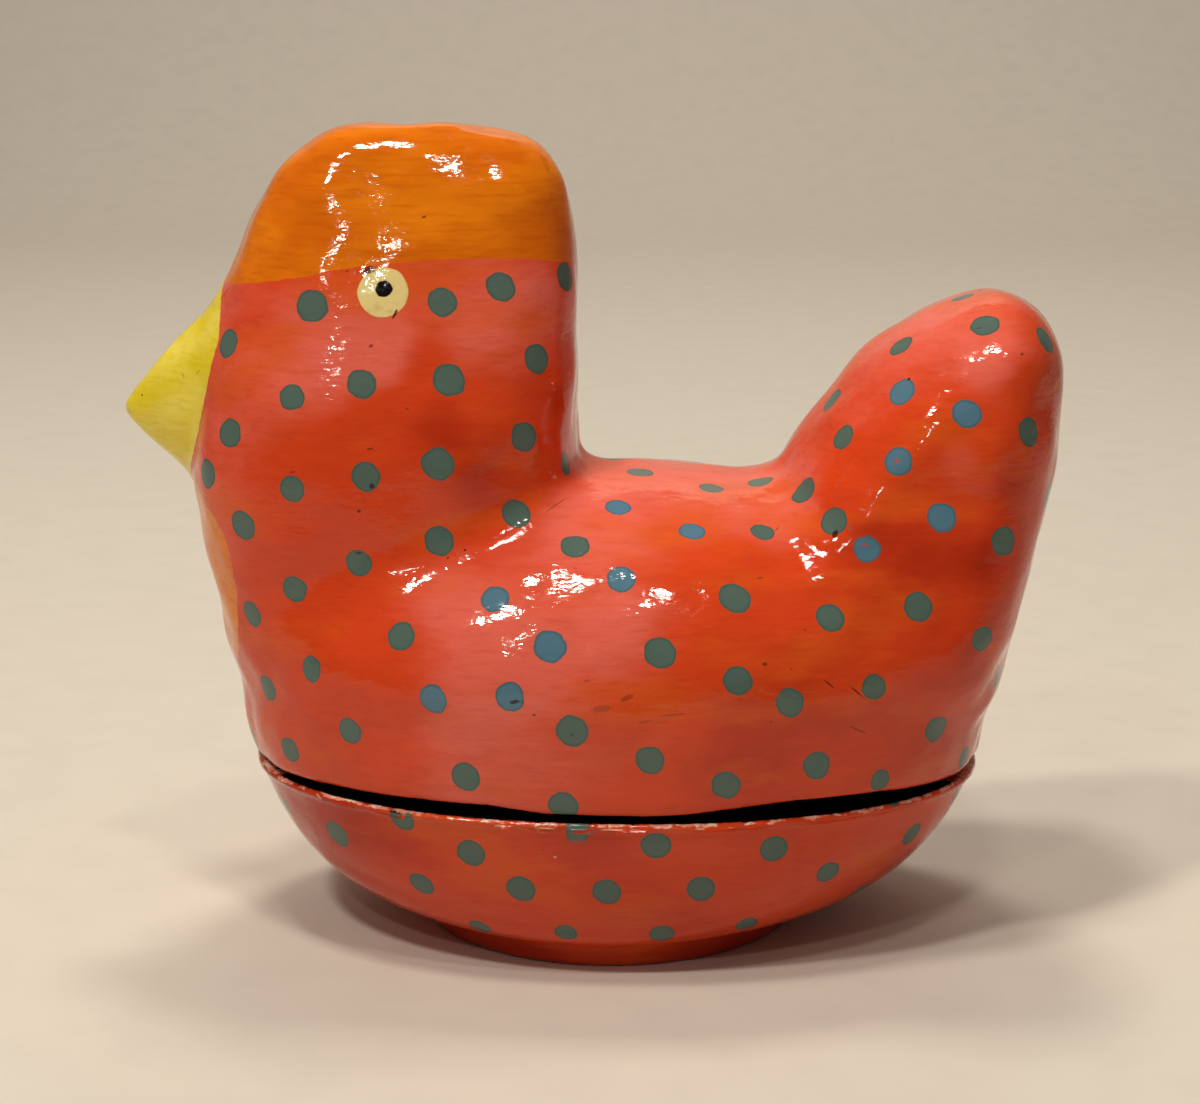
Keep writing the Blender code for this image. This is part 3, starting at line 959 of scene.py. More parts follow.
@dataclass
class BowlBase:
    """The bowl: turned foot, bulging side, chipped rim, collar and a black inside."""

    form: HenForm
    camera: PhotoCamera
    name: str = "bowl_base_painted"
    segments: int = 360
    side_rings: int = 44
    wall: float = 3.6 * MM
    floor: float = 3.2 * MM
    collar_height: float = 4.5 * MM
    collar_depth: float = 4.0 * MM
    collar_thickness: float = 1.6 * MM
    rim_flare: float = 0.35 * MM
    rim_round: float = 0.45 * MM
    foot_round: float = 0.6 * MM
    chip_depth: float = 0.34 * MM
    chip_seed: int = 21
    chip_waves: int = 70
    chip_wave_share: float = 0.4
    disc_rings: int = 6
    halvings: int = 40
    flare_reach: float = 2.2 * MM
    collar_bevel: float = 0.4 * MM
    black_inset: float = 1.5 * MM
    rim_slack: float = 0.2 * MM
    rim_red: float = 0.12
    lowest_dot: float = 6.0 * MM
    # Painted shade: how much deeper the red is made over the whole bowl, how much more at the
    # foot, and how far up that reaches, in foot heights
    shade: float = 0.6
    foot_painted_shade: float = 0.8
    foot_painted_shade_reach: float = 1.6

    @cached_property
    def angle(self) -> Array:
        """Angles of the rings' points round the Z axis."""
        return 2 * math.pi * np.arange(self.segments) / self.segments

    def ring_at(self, inset: float, above: Array | float) -> Array:
        """Ring at a height above the rim plane, set in from the hen's skin."""
        form, angle = self.form, self.angle
        inner = np.zeros_like(angle)
        outer = np.full_like(angle, 2 * form.belly_half_length)
        for _ in range(self.halvings):
            middle = 0.5 * (inner + outer)
            x, y = middle * np.cos(angle), middle * np.sin(angle)
            inside = form.body(x, y, form.seam_height(x) + above, inset) < 0.0
            inner = np.where(inside, middle, inner)
            outer = np.where(inside, outer, middle)
        x, y = inner * np.cos(angle), inner * np.sin(angle)
        return np.stack([x, y, form.seam_height(x) + above], axis=1)

    def circle(self, radius: float, height: float) -> Array:
        """Flat circle of points."""
        return np.stack([radius * np.cos(self.angle), radius * np.sin(self.angle),
                         np.full_like(self.angle, height)], axis=1)

    def between(self, low_ring: Array, high_ring: Array, share: float) -> Array:
        """Ring of a bulging side that opens from the low ring to the high one."""
        bottom = float(low_ring[0, 2])
        rise = bottom + (high_ring[:, 2] - bottom) * share
        opened = (self.form.opening(rise, bottom)
                  / self.form.opening(high_ring[:, 2], bottom))
        plan = low_ring[:, :2] + (high_ring[:, :2] - low_ring[:, :2]) * opened[:, None]
        return np.column_stack([plan, rise])

    def chips(self) -> Array:
        """How deep the rim is chipped at each angle."""
        chance = np.random.default_rng(self.chip_seed)
        depth = chance.random(self.segments) ** 3
        depth = (depth + np.roll(depth, 1) + np.roll(depth, -1)) / 3
        wave = np.interp(self.angle, np.linspace(0, 2 * math.pi, self.chip_waves + 1)[:-1],
                         chance.random(self.chip_waves), period=2 * math.pi)
        share = self.chip_wave_share
        return self.chip_depth * ((1 - share) * depth + share * wave)

    def profile(self) -> list[Array]:
        """Rings from the foot's underside, over the rim, to the floor inside."""
        form = self.form
        foot_top = self.circle(form.foot_radius + form.foot_flare, form.foot_height)
        outer_rim = self.ring_at(0.0, 0.0)
        shares = 1 - np.cos(0.5 * math.pi * np.arange(1, self.side_rings) / self.side_rings)

        rings = [self.circle(form.foot_radius - self.foot_round, 0.0),
                 self.circle(form.foot_radius - 0.3 * self.foot_round, 0.25 * self.foot_round),
                 self.circle(form.foot_radius, self.foot_round),
                 self.circle(form.foot_radius + 0.2 * form.foot_flare,
                             0.75 * form.foot_height),
                 foot_top]
        rings += [self.between(foot_top, outer_rim, share) for share in shares]

        top = outer_rim[:, 2]
        for ring in rings:
            reach = ease((ring[:, 2] - top + self.flare_reach) / self.flare_reach)
            outward = ring[:, :2] / np.linalg.norm(ring[:, :2], axis=1)[:, None]
            ring[:, :2] += outward * (self.rim_flare * reach)[:, None]

        outward = outer_rim[:, :2] / np.linalg.norm(outer_rim[:, :2], axis=1)[:, None]
        chips = self.chips()
        for inset, drop in ((0.0, 1.0), (0.1, 0.55), (0.35, 0.2), (1.0, 0.0)):
            ring = outer_rim.copy()
            pull = self.rim_flare - self.rim_round * inset - chips * (1 - inset)
            ring[:, :2] += outward * pull[:, None]
            ring[:, 2] -= self.rim_round * drop + chips * (1 - inset)
            rings.append(ring)

        inner, high, bevel = (self.wall + self.collar_thickness, self.collar_height,
                              self.collar_bevel)
        for inset, above in ((0.55 * self.wall, 0.0), (self.wall, 0.0),
                             (self.wall, 0.5 * high), (self.wall, high - bevel),
                             (self.wall + bevel, high), (inner - bevel, high),
                             (inner, high - bevel), (inner, 0.0),
                             (inner, -self.collar_depth)):
            rings.append(self.ring_at(inset, above))

        wall_top = self.ring_at(self.wall, -self.collar_depth)
        floor = self.circle(form.foot_radius + form.foot_flare - self.wall,
                            form.foot_height + self.floor)
        rings.append(wall_top)
        rings += [self.between(floor, wall_top, share) for share in shares[::-1][::2]]
        rings.append(floor)
        return rings

    def mesh(self) -> Surface:
        """Joins the rings into one closed loft, with flat discs of rings at its ends."""
        rings = self.profile()
        shares = np.linspace(0.0, 1.0, self.disc_rings + 1)[1:-1]
        under, inside = rings[0], rings[-1]
        rings = ([self.shrunk(under, share) for share in shares] + rings
                 + [self.shrunk(inside, share) for share in shares[::-1]])
        here = np.arange(self.segments)
        after = (here + 1) % self.segments
        faces = [list(map(int, here[::-1]))]
        for low in range(0, (len(rings) - 1) * self.segments, self.segments):
            high = low + self.segments
            faces += np.stack([low + here, low + after, high + after, high + here],
                              axis=1).tolist()
        faces.append(list(map(int, (len(rings) - 1) * self.segments + here)))
        spots = np.concatenate(rings)
        draft = bpy.data.meshes.new("bowl_draft")
        draft.from_pydata(spots.tolist(), [], faces)
        normals = np.zeros(spots.size, dtype=np.float32)
        draft.vertex_normals.foreach_get("vector", normals)
        bpy.data.meshes.remove(draft)
        return Surface(spots, faces, normals.reshape(-1, 3).astype(float))

    @staticmethod
    def shrunk(ring: Array, share: float) -> Array:
        """A level ring drawn in towards its middle."""
        return ring * np.array((share, share, 1.0))

    def mark_areas(self, surface: Surface) -> None:
        """Writes how far each vertex lies inside the black, in mm."""
        x, y, z = surface.spots.T
        below = self.form.seam_height(x) - z
        inset = -self.form.body(x, y, z)
        floor = self.form.foot_height + 0.5 * self.floor
        inside = (inset > self.black_inset) & (z > floor) | (below < -self.rim_slack)
        under = (z < floor) & (np.hypot(x, y) < self.form.foot_radius - self.rim_slack)
        black = np.where(inside & (z >= floor), DEEP_INSIDE, -below / MM - self.rim_red)
        surface.places[Place.BLACK] = np.where(under, FAR_OUTSIDE, black)

    def build(self, material: bpy.types.Material, dots: DotPattern,
              marks: Sequence[Mark]) -> bpy.types.Object:
        """Builds the painted bowl.

        Args:
            material: The bowl's finish.
            dots: The dot pattern.
            marks: Specks and chips.

        Returns:
            The bowl.
        """
        surface = self.mesh()
        self.mark_areas(surface)
        height = surface.spots[:, 2]
        # Painted shade: the red is made deeper over the whole bowl, and deeper still towards
        # the foot.
        low = ease(1.0 - height / (self.foot_painted_shade_reach * self.form.foot_height))
        surface.places[Place.TONE] = (tone_drift(surface, seed=9) - self.shade
                                      - self.foot_painted_shade * low)
        bare = ((surface.places[Place.BLACK] > -DEEP_INSIDE) | (height < self.lowest_dot)
                | (np.einsum("ij,ij->i", surface.normals[:, :2], surface.spots[:, :2]) < 0))
        count = dots.paint(surface, self.camera, bare)
        paint_marks(surface, self.camera, marks)
        bowl = surface.build(self.name, material)
        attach(bowl, "root")
        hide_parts("bowl_base")
        LOG.info("%s: %d faces, %d dots", self.name, len(surface.faces), count)
        return bowl


class NodeSheet:
    """Short calls that add nodes to one material."""

    def __init__(self, name: str) -> None:
        """Starts a material with its shader."""
        self.material = bpy.data.materials.new(name)
        self.material.use_nodes = True
        self.tree = self.material.node_tree
        self.shader = self.tree.nodes["Principled BSDF"]
        self.position = self.tree.nodes.new("ShaderNodeTexCoord").outputs["Object"]
        self.readers: dict[Place, bpy.types.Node] = {}

    def feed(self, socket: bpy.types.NodeSocket, value: Value) -> None:
        """Links a value to a socket, or sets it there where it is constant."""
        if isinstance(value, bpy.types.NodeSocket):
            self.tree.links.new(value, socket)
        elif isinstance(value, tuple):
            socket.default_value = (*value, 1.0)[:len(socket.default_value)]
        else:
            socket.default_value = value

    def place(self, place: Place, part: str = "Fac") -> bpy.types.NodeSocket:
        """One of the piece's paint places."""
        if place not in self.readers:
            reader = self.tree.nodes.new("ShaderNodeAttribute")
            reader.attribute_name = place.value
            self.readers[place] = reader
        return self.readers[place].outputs[part]

    def math(self, operation: str, *values: Value) -> bpy.types.NodeSocket:
        """Result of a math node."""
        node = self.tree.nodes.new("ShaderNodeMath")
        node.operation = operation
        for socket, value in zip(node.inputs, values):
            self.feed(socket, value)
        return node.outputs["Value"]

    def step(self, value: Value, low: float, high: float, start: float = 0.0,
             end: float = 1.0) -> bpy.types.NodeSocket:
        """Smooth step of a value between two levels.

        Args:
            value: The value.
            low: Level where the step starts.
            high: Level where it ends.
            start: Result below the low level.
            end: Result above the high level.

        Returns:
            The result.
        """
        node = self.tree.nodes.new("ShaderNodeMapRange")
        node.interpolation_type = "SMOOTHSTEP"
        for name, number in (("From Min", low), ("From Max", high), ("To Min", start),
                             ("To Max", end)):
            node.inputs[name].default_value = number
        self.feed(node.inputs["Value"], value)
        return node.outputs["Result"]

    def mix(self, share: Value, below: Value, above: Value) -> bpy.types.NodeSocket:
        """Mixes two colours."""
        node = self.tree.nodes.new("ShaderNodeMix")
        node.data_type = "RGBA"
        self.feed(node.inputs["Factor"], share)
        self.feed(node.inputs["A"], below)
        self.feed(node.inputs["B"], above)
        return node.outputs["Result"]

    def noise(self, size: float, detail: float = 3.0, stretch: Point = (1.0, 1.0, 1.0),
              seed: float = 0.0) -> bpy.types.NodeSocket:
        """Noise with patches of a given size.

        Args:
            size: Size of the patches.
            detail: How many finer layers it has.
            stretch: How much longer the patches are along each axis.
            seed: Shift that makes one noise unlike another.

        Returns:
            Values round 0.5.
        """
        mapping = self.tree.nodes.new("ShaderNodeMapping")
        mapping.inputs["Scale"].default_value = tuple(1.0 / (size * s) for s in stretch)
        mapping.inputs["Location"].default_value = (seed, 1.7 * seed, 2.3 * seed)
        self.tree.links.new(self.position, mapping.inputs["Vector"])
        node = self.tree.nodes.new("ShaderNodeTexNoise")
        node.inputs["Scale"].default_value = 1.0
        node.inputs["Detail"].default_value = detail
        self.tree.links.new(mapping.outputs["Vector"], node.inputs["Vector"])
        return node.outputs["Fac"]

    def wobble(self, value: Value, size: float, amount: float,
               seed: float = 0.0) -> bpy.types.NodeSocket:
        """A value made uneven by noise, by up to about the amount."""
        shift = self.math("SUBTRACT", self.noise(size, 2.0, seed=seed), 0.5)
        return self.math("MULTIPLY_ADD", shift, 2.0 * amount, value)

    def split(self, vector: bpy.types.NodeSocket) -> bpy.types.bpy_prop_collection:
        """The three parts of a vector."""
        node = self.tree.nodes.new("ShaderNodeSeparateXYZ")
        self.tree.links.new(vector, node.inputs["Vector"])
        return node.outputs

    def radius(self, place: Place, along: float = 0.0, across: float = 0.0) -> tuple[
            bpy.types.NodeSocket, bpy.types.NodeSocket]:
        """Distance from a spot of paint in its half sizes, and the spot's strength."""
        parts = self.split(self.place(place, "Vector"))
        u = self.math("SUBTRACT", parts["X"], along)
        v = self.math("SUBTRACT", parts["Y"], across)
        square = self.math("MULTIPLY_ADD", u, u, self.math("MULTIPLY", v, v))
        return self.math("SQRT", square), parts["Z"]


@dataclass(frozen=True)
class RedLacquer:
    """Vermilion brushed over pinker and deeper coats, its tone also holding painted sheen and
    shade.
    """

    ground: Colour = srgb(216, 68, 26)
    pink: Colour = srgb(229, 103, 84)
    orange: Colour = srgb(220, 88, 24)
    deep: Colour = srgb(176, 42, 12)
    stroke: Point = (2.6, 1.5, 0.8)
    broad_stroke: float = 5 * MM
    broad_amount: float = 0.45
    fine_stroke: float = 1.4 * MM
    fine_amount: float = 0.25
    warm_patch: float = 6 * MM
    warm_share: float = 0.7
    streak_size: float = 0.45 * MM
    streak_stretch: Point = (6.0, 3.0, 1.0)
    streak_share: float = 0.22

    def cover(self, sheet: NodeSheet) -> bpy.types.NodeSocket:
        """Colour of the bare red."""
        tone = sheet.place(Place.TONE)
        for size, amount, seed in ((self.broad_stroke, self.broad_amount, 3.0),
                                   (self.fine_stroke, self.fine_amount, 13.0)):
            strokes = sheet.noise(size, 3.0, self.stroke, seed)
            tone = sheet.math("MULTIPLY_ADD", sheet.math("SUBTRACT", strokes, 0.5),
                              2.0 * amount, tone)
        # Pinker where the tone rises and deeper where it falls, which carries painted sheen
        # and painted shade as well as the paint's own tone
        colour = sheet.mix(sheet.step(tone, 0.1, 1.2), self.ground, self.pink)
        colour = sheet.mix(sheet.step(tone, -1.4, -0.1, 0.9, 0.0), colour, self.deep)
        warm = sheet.noise(self.warm_patch, 4.0, self.stroke, 8.0)
        colour = sheet.mix(sheet.step(warm, 0.48, 0.70, 0.0, self.warm_share), colour,
                           self.orange)
        streak = sheet.noise(self.streak_size, 3.0, self.streak_stretch, 5.0)
        return sheet.mix(sheet.step(streak, 0.45, 0.8, 0.0, self.streak_share), colour,
                         self.deep)


@dataclass(frozen=True)
class BrushedArea:
    """An area of one paint, with streaks along its brush strokes and a wavering edge."""

    place: Place
    ground: Colour
    light: Colour
    streaks: Colour
    stroke: Point
    waver: float = 0.22
    waver_size: float = 2.4 * MM
    fray: float = 0.06
    fray_size: float = 0.6 * MM
    patch: float = 7 * MM
    patch_stretch: Point = (1.8, 1.0, 0.8)
    streak_size: float = 0.5 * MM
    streak_share: float = 0.5
    seed: float = 0.0

    def share(self, sheet: NodeSheet) -> bpy.types.NodeSocket:
        """How much of this paint covers what is under it."""
        edge = sheet.wobble(sheet.place(self.place), self.waver_size, self.waver, self.seed)
        edge = sheet.wobble(edge, self.fray_size, self.fray, self.seed + 1.0)
        return sheet.step(edge, -0.05, 0.05)

    def cover(self, sheet: NodeSheet, below: bpy.types.NodeSocket) -> bpy.types.NodeSocket:
        """Colour with this area painted over what is below."""
        patch = sheet.noise(self.patch, 4.0, self.patch_stretch, self.seed + 2.0)
        colour = sheet.mix(sheet.step(patch, 0.35, 0.68), self.ground, self.light)
        streak = sheet.noise(self.streak_size, 4.0, self.stroke, self.seed + 3.0)
        colour = sheet.mix(sheet.step(streak, 0.42, 0.78, 0.0, self.streak_share), colour,
                           self.streaks)
        return sheet.mix(self.share(sheet), below, colour)


@dataclass(frozen=True)
class DotPaint:
    """Grey-green and bluer dots, dabbed on by hand; the bluer tint is partly painted
    reflection of the light.
    """

    green: Colour = srgb(84, 106, 96)
    blue: Colour = srgb(84, 122, 142)
    edge: Colour = srgb(62, 76, 68)
    edge_share: float = 0.5
    waver: float = 0.16
    waver_size: float = 1.3 * MM
    tint_spread: float = 0.45
    tint_patch: float = 2.0 * MM

    def cover(self, sheet: NodeSheet, below: bpy.types.NodeSocket) -> bpy.types.NodeSocket:
        """Colour with the dots over what is below."""
        radius, guard = sheet.radius(Place.DOT)
        radius = sheet.wobble(radius, self.waver_size, self.waver, 6.0)
        share = sheet.math("MULTIPLY", sheet.step(radius, 1.0, 1.07, 1.0, 0.0), guard)
        tint = sheet.wobble(sheet.place(Place.DOT_TINT), self.tint_patch, self.tint_spread,
                            9.0)
        colour = sheet.mix(sheet.step(tint, 0.0, 1.0), self.green, self.blue)
        rim = sheet.step(radius, 0.76, 1.04, 0.0, self.edge_share)
        colour = sheet.mix(rim, colour, self.edge)
        return sheet.mix(share, below, colour)


@dataclass(frozen=True)
class EyePaint:
    """A cream disc with a black pupil."""

    cream: Colour = srgb(232, 210, 140)
    shade: Colour = srgb(205, 178, 105)
    pupil: Colour = srgb(14, 12, 12)
    pupil_radius: float = 0.33
    pupil_along: float = 0.03
    pupil_up: float = 0.12
    pupil_edge: float = 0.02
    waver: float = 0.06
    waver_size: float = 2.2 * MM
    pupil_waver_size: float = 0.8 * MM
    worn_patch: float = 1.2 * MM
    worn_share: float = 0.7

    def cover(self, sheet: NodeSheet, below: bpy.types.NodeSocket) -> bpy.types.NodeSocket:
        """Colour with the eye over what is below."""
        radius, guard = sheet.radius(Place.EYE)
        radius = sheet.wobble(radius, self.waver_size, self.waver, 2.0)
        share = sheet.math("MULTIPLY", sheet.step(radius, 0.96, 1.01, 1.0, 0.0), guard)
        worn = sheet.noise(self.worn_patch, seed=4.0)
        colour = sheet.mix(sheet.step(worn, 0.5, 0.75, 0.0, self.worn_share), self.cream,
                           self.shade)
        inner, _ = sheet.radius(Place.EYE, self.pupil_along, self.pupil_up)
        inner = sheet.wobble(inner, self.pupil_waver_size, self.waver, 12.0)
        pupil = sheet.step(inner, self.pupil_radius - self.pupil_edge,
                           self.pupil_radius + self.pupil_edge, 1.0, 0.0)
        return sheet.mix(share, below, sheet.mix(pupil, colour, self.pupil))


@dataclass(frozen=True)
class Wear:
    """Dark specks and scratches, a line of painted shade along the neck's crease, and places
    where the paint has come away pale.
    """

    dark: Colour = srgb(46, 20, 14)
    pale: Colour = srgb(236, 170, 140)
    red: Colour = srgb(200, 60, 24)
    fray: float = 0.35
    fray_size: float = 0.35 * MM

    def cover(self, sheet: NodeSheet, below: bpy.types.NodeSocket) -> bpy.types.NodeSocket:
        """Colour with the marks over what is below."""
        radius, guard = sheet.radius(Place.MARK)
        radius = sheet.wobble(radius, self.fray_size, self.fray, 7.0)
        share = sheet.math("MULTIPLY", sheet.step(radius, 0.6, 1.05, 1.0, 0.0), guard)
        tone = sheet.place(Place.MARK_TONE)
        colour = sheet.mix(sheet.step(tone, 0.2, 0.8), self.dark, self.pale)
        colour = sheet.mix(sheet.step(tone, -0.8, -0.2, 1.0, 0.0), colour, self.red)
        return sheet.mix(share, below, colour)


@dataclass(frozen=True)
class BlackLacquer:
    """Black lacquer inside and on the rim, where the red ends in a ragged, pale edge."""

    black: Colour = srgb(20, 16, 14)
    fleck: Colour = srgb(240, 150, 128)
    pale: Colour = srgb(240, 214, 190)
    ragged: float = 0.34
    tear: float = 1.5 * MM
    fine_tear: float = 0.45 * MM
    fleck_depth: float = 0.42
    worn_patch: float = 2.0 * MM
    chalk_patch: float = 0.9 * MM

    def cover(self, sheet: NodeSheet, below: bpy.types.NodeSocket) -> bpy.types.NodeSocket:
        """Colour with the black over what is below."""
        edge = sheet.wobble(sheet.place(Place.BLACK), self.tear, self.ragged, 3.0)
        edge = sheet.wobble(edge, self.fine_tear, 0.6 * self.ragged, 5.0)
        worn = sheet.step(sheet.noise(self.worn_patch, 4.0, seed=11.0), 0.46, 0.54)
        near = sheet.step(edge, -self.fleck_depth, -0.7 * self.fleck_depth)
        chalk = sheet.mix(sheet.step(sheet.noise(self.chalk_patch, seed=14.0), 0.5, 0.62),
                          self.fleck, self.pale)
        colour = sheet.mix(sheet.math("MULTIPLY", worn, near), below, chalk)
        return sheet.mix(sheet.step(edge, -0.04, 0.04), colour, self.black)


PaintLayer = BrushedArea | DotPaint | EyePaint | Wear | BlackLacquer


@dataclass(frozen=True)
class HenPaint:
    """The whole finish: paints in order, under one glossy lacquer."""

    name: str
    layers: tuple[PaintLayer, ...]
    red: RedLacquer = RedLacquer()
    gloss: float = 0.07
    shine: float = 0.37
    smear_size: float = 1.5 * MM
    strokes_size: float = 0.55 * MM
    strokes_stretch: Point = (3.0, 3.0, 1.0)
    strokes_depth: float = 0.030 * MM
    lumps_size: float = 2.6 * MM
    lumps_stretch: Point = (1.4, 1.4, 1.0)
    lumps_depth: float = 0.16 * MM

    def build(self) -> bpy.types.Material:
        """Makes the material."""
        sheet = NodeSheet(self.name)
        colour = self.red.cover(sheet)
        for layer in self.layers:
            colour = layer.cover(sheet, colour)
        sheet.feed(sheet.shader.inputs["Base Color"], colour)
        smear = sheet.noise(self.smear_size, seed=15.0)
        sheet.feed(sheet.shader.inputs["Roughness"],
                   sheet.step(smear, 0.35, 0.75, 0.7 * self.gloss, 1.9 * self.gloss))
        sheet.shader.inputs["Specular IOR Level"].default_value = self.shine
        strokes = sheet.noise(self.strokes_size, 2.0, self.strokes_stretch, 17.0)
        lumps = sheet.noise(self.lumps_size, 3.0, self.lumps_stretch, 19.0)
        fine = self.bump(sheet, strokes, self.strokes_depth, None)
        sheet.feed(sheet.shader.inputs["Normal"],
                   self.bump(sheet, lumps, self.lumps_depth, fine))
        return sheet.material

    @staticmethod
    def bump(sheet: NodeSheet, height: bpy.types.NodeSocket, depth: float,
             under: bpy.types.NodeSocket | None) -> bpy.types.NodeSocket:
        """Normal of a raised pattern, on top of another normal."""
        node = sheet.tree.nodes.new("ShaderNodeBump")
        node.inputs["Distance"].default_value = depth
        sheet.feed(node.inputs["Height"], height)
        if under is not None:
            sheet.feed(node.inputs["Normal"], under)
        return node.outputs["Normal"]


@dataclass(frozen=True)
class SoftLight:
    """A square soft box that shines at the hen."""

    name: str
    place: Point
    width: float
    power: float
    colour: Colour = (1.0, 0.93, 0.84)
    aim: Point = (0.0, 0.0, 40 * MM)
    glints: bool = True

    def build(self) -> bpy.types.Object:
        """Adds the light."""
        data = bpy.data.lights.new(self.name, "AREA")
        data.shape = "SQUARE"
        data.size = self.width
        data.energy = self.power
        data.color = self.colour
        light = bpy.data.objects.new(self.name, data)
        light.location = self.place
        way = Vector(self.aim) - Vector(self.place)
        light.rotation_euler = way.to_track_quat("-Z", "Y").to_euler()
        light.visible_glossy = self.glints
        bpy.context.scene.collection.objects.link(light)
        return light


@dataclass(frozen=True)
class StudioStage:
    """A plain pale floor that curves up behind, and the lights."""

    half_width: float = 1.6
    front: float = -1.0
    back: float = 0.75
    rise: float = 1.3
    curve: float = 0.3
    steps: int = 16
    colour: Colour = srgb(216, 208, 195)
    grain: float = 9 * MM
    grain_shade: float = 0.97
    roughness: float = 0.55
    sky: Colour = (1.0, 0.95, 0.88)
    sky_strength: float = 0.09
    lights: tuple[SoftLight, ...] = (
        SoftLight("ceiling_light", (-0.10, -0.11, 0.70), 0.09, 1.5),
        SoftLight("ceiling_light_right", (0.062, -0.30, 0.70), 0.05, 0.6),
        SoftLight("ceiling_light_left", (-0.283, -0.32, 0.68), 0.07, 2.0),
        SoftLight("room_light", (-0.24, -0.66, 0.61), 0.04, 0.5),
        SoftLight("back_light", (0.0, 0.30, 0.80), 0.15, 2.5, glints=False),
        SoftLight("wall_light", (0.05, 0.75, 0.9), 0.4, 2.3, aim=(0.0, 1.1, 0.3),
                  glints=False),
    )

    def floor(self) -> bpy.types.Object:
        """Adds the floor."""
        bend = [(self.back + self.curve * math.sin(turn),
                 self.curve * (1 - math.cos(turn)))
                for turn in np.linspace(0.0, 0.5 * math.pi, self.steps)]
        line = [(self.front, 0.0), *bend, (self.back + self.curve, self.rise)]
        spots = [(side * self.half_width, y, z) for y, z in line for side in (-1, 1)]
        faces = [(2 * n, 2 * n + 1, 2 * n + 3, 2 * n + 2) for n in range(len(line) - 1)]
        mesh = bpy.data.meshes.new("pale_floor")
        mesh.from_pydata(spots, [], faces)
        mesh.shade_smooth()
        sheet = NodeSheet("pale_floor")
        grain = sheet.noise(self.grain)
        shade = tuple(self.grain_shade * part for part in self.colour)
        sheet.feed(sheet.shader.inputs["Base Color"],
                   sheet.mix(sheet.step(grain, 0.4, 0.7), self.colour, shade))
        sheet.shader.inputs["Roughness"].default_value = self.roughness
        mesh.materials.append(sheet.material)
        floor = bpy.data.objects.new("pale_floor", mesh)
        bpy.context.scene.collection.objects.link(floor)
        return floor

    def build(self) -> None:
        """Adds floor, sky and lights."""
        self.floor()
        world = bpy.data.worlds.new("soft_room")
        world.use_nodes = True
        sky = world.node_tree.nodes["Background"]
        sky.inputs["Color"].default_value = (*self.sky, 1.0)
        sky.inputs["Strength"].default_value = self.sky_strength
        bpy.context.scene.world = world
        for light in self.lights:
            light.build()
        bpy.context.scene.view_settings.view_transform = "Standard"


HEN_DOTS = DotPattern(
    seen={
        DotSize.TINY: (
            (565, 463), (697, 461), (711, 488), (762, 532), (880, 780), (963, 297),
            (998, 677), (964, 757), (615, 441),
        ),
        DotSize.SMALL: (
            (577, 355), (292, 397), (292, 489), (359, 563), (295, 589), (252, 614),
            (312, 669), (268, 688), (290, 750), (350, 731), (618, 507), (640, 472),
            (692, 531), (760, 482), (867, 549), (874, 687), (843, 437), (832, 400),
            (901, 346), (983, 639),
        ),
        DotSize.MIDDLE: (
            (442, 302), (501, 287), (566, 277), (228, 343), (362, 384), (537, 359),
            (230, 433), (524, 437), (366, 477), (207, 474), (243, 525), (439, 541),
            (516, 514), (401, 636), (495, 599), (575, 546), (621, 579), (804, 491),
            (834, 521), (830, 618), (738, 681), (790, 703), (936, 729), (817, 765),
            (726, 785), (650, 760), (510, 697), (433, 699), (466, 777), (563, 806),
            (898, 461), (902, 392), (985, 325), (967, 414), (1046, 340), (1029, 432),
            (942, 518), (1004, 541), (918, 607),
        ),
        DotSize.LARGE: (
            (312, 306), (449, 380), (438, 464), (550, 646), (660, 653), (735, 598),
            (572, 731),
        ),
    },
    # Bluer dots, partly painted reflection of the light
    bluer=(
        (550, 646), (495, 599), (621, 579), (433, 699), (510, 697), (618, 507), (692, 531),
        (867, 549), (898, 461), (967, 414), (902, 392), (942, 518),
    ),
    middle=(600.0, 600.0),
)

BOWL_DOTS = DotPattern(
    seen={
        DotSize.TINY: (
            (888, 801), (480, 927), (566, 933), (747, 924), (285, 805), (577, 826),
        ),
        DotSize.SMALL: (
            (402, 819), (912, 834), (422, 884), (828, 872), (662, 934),
        ),
        DotSize.MIDDLE: (
            (337, 834), (471, 853), (656, 845), (774, 849), (521, 889), (607, 892),
            (701, 889),
        ),
    },
    bluer=(),
    middle=(600.0, 860.0),
    seed=6,
)

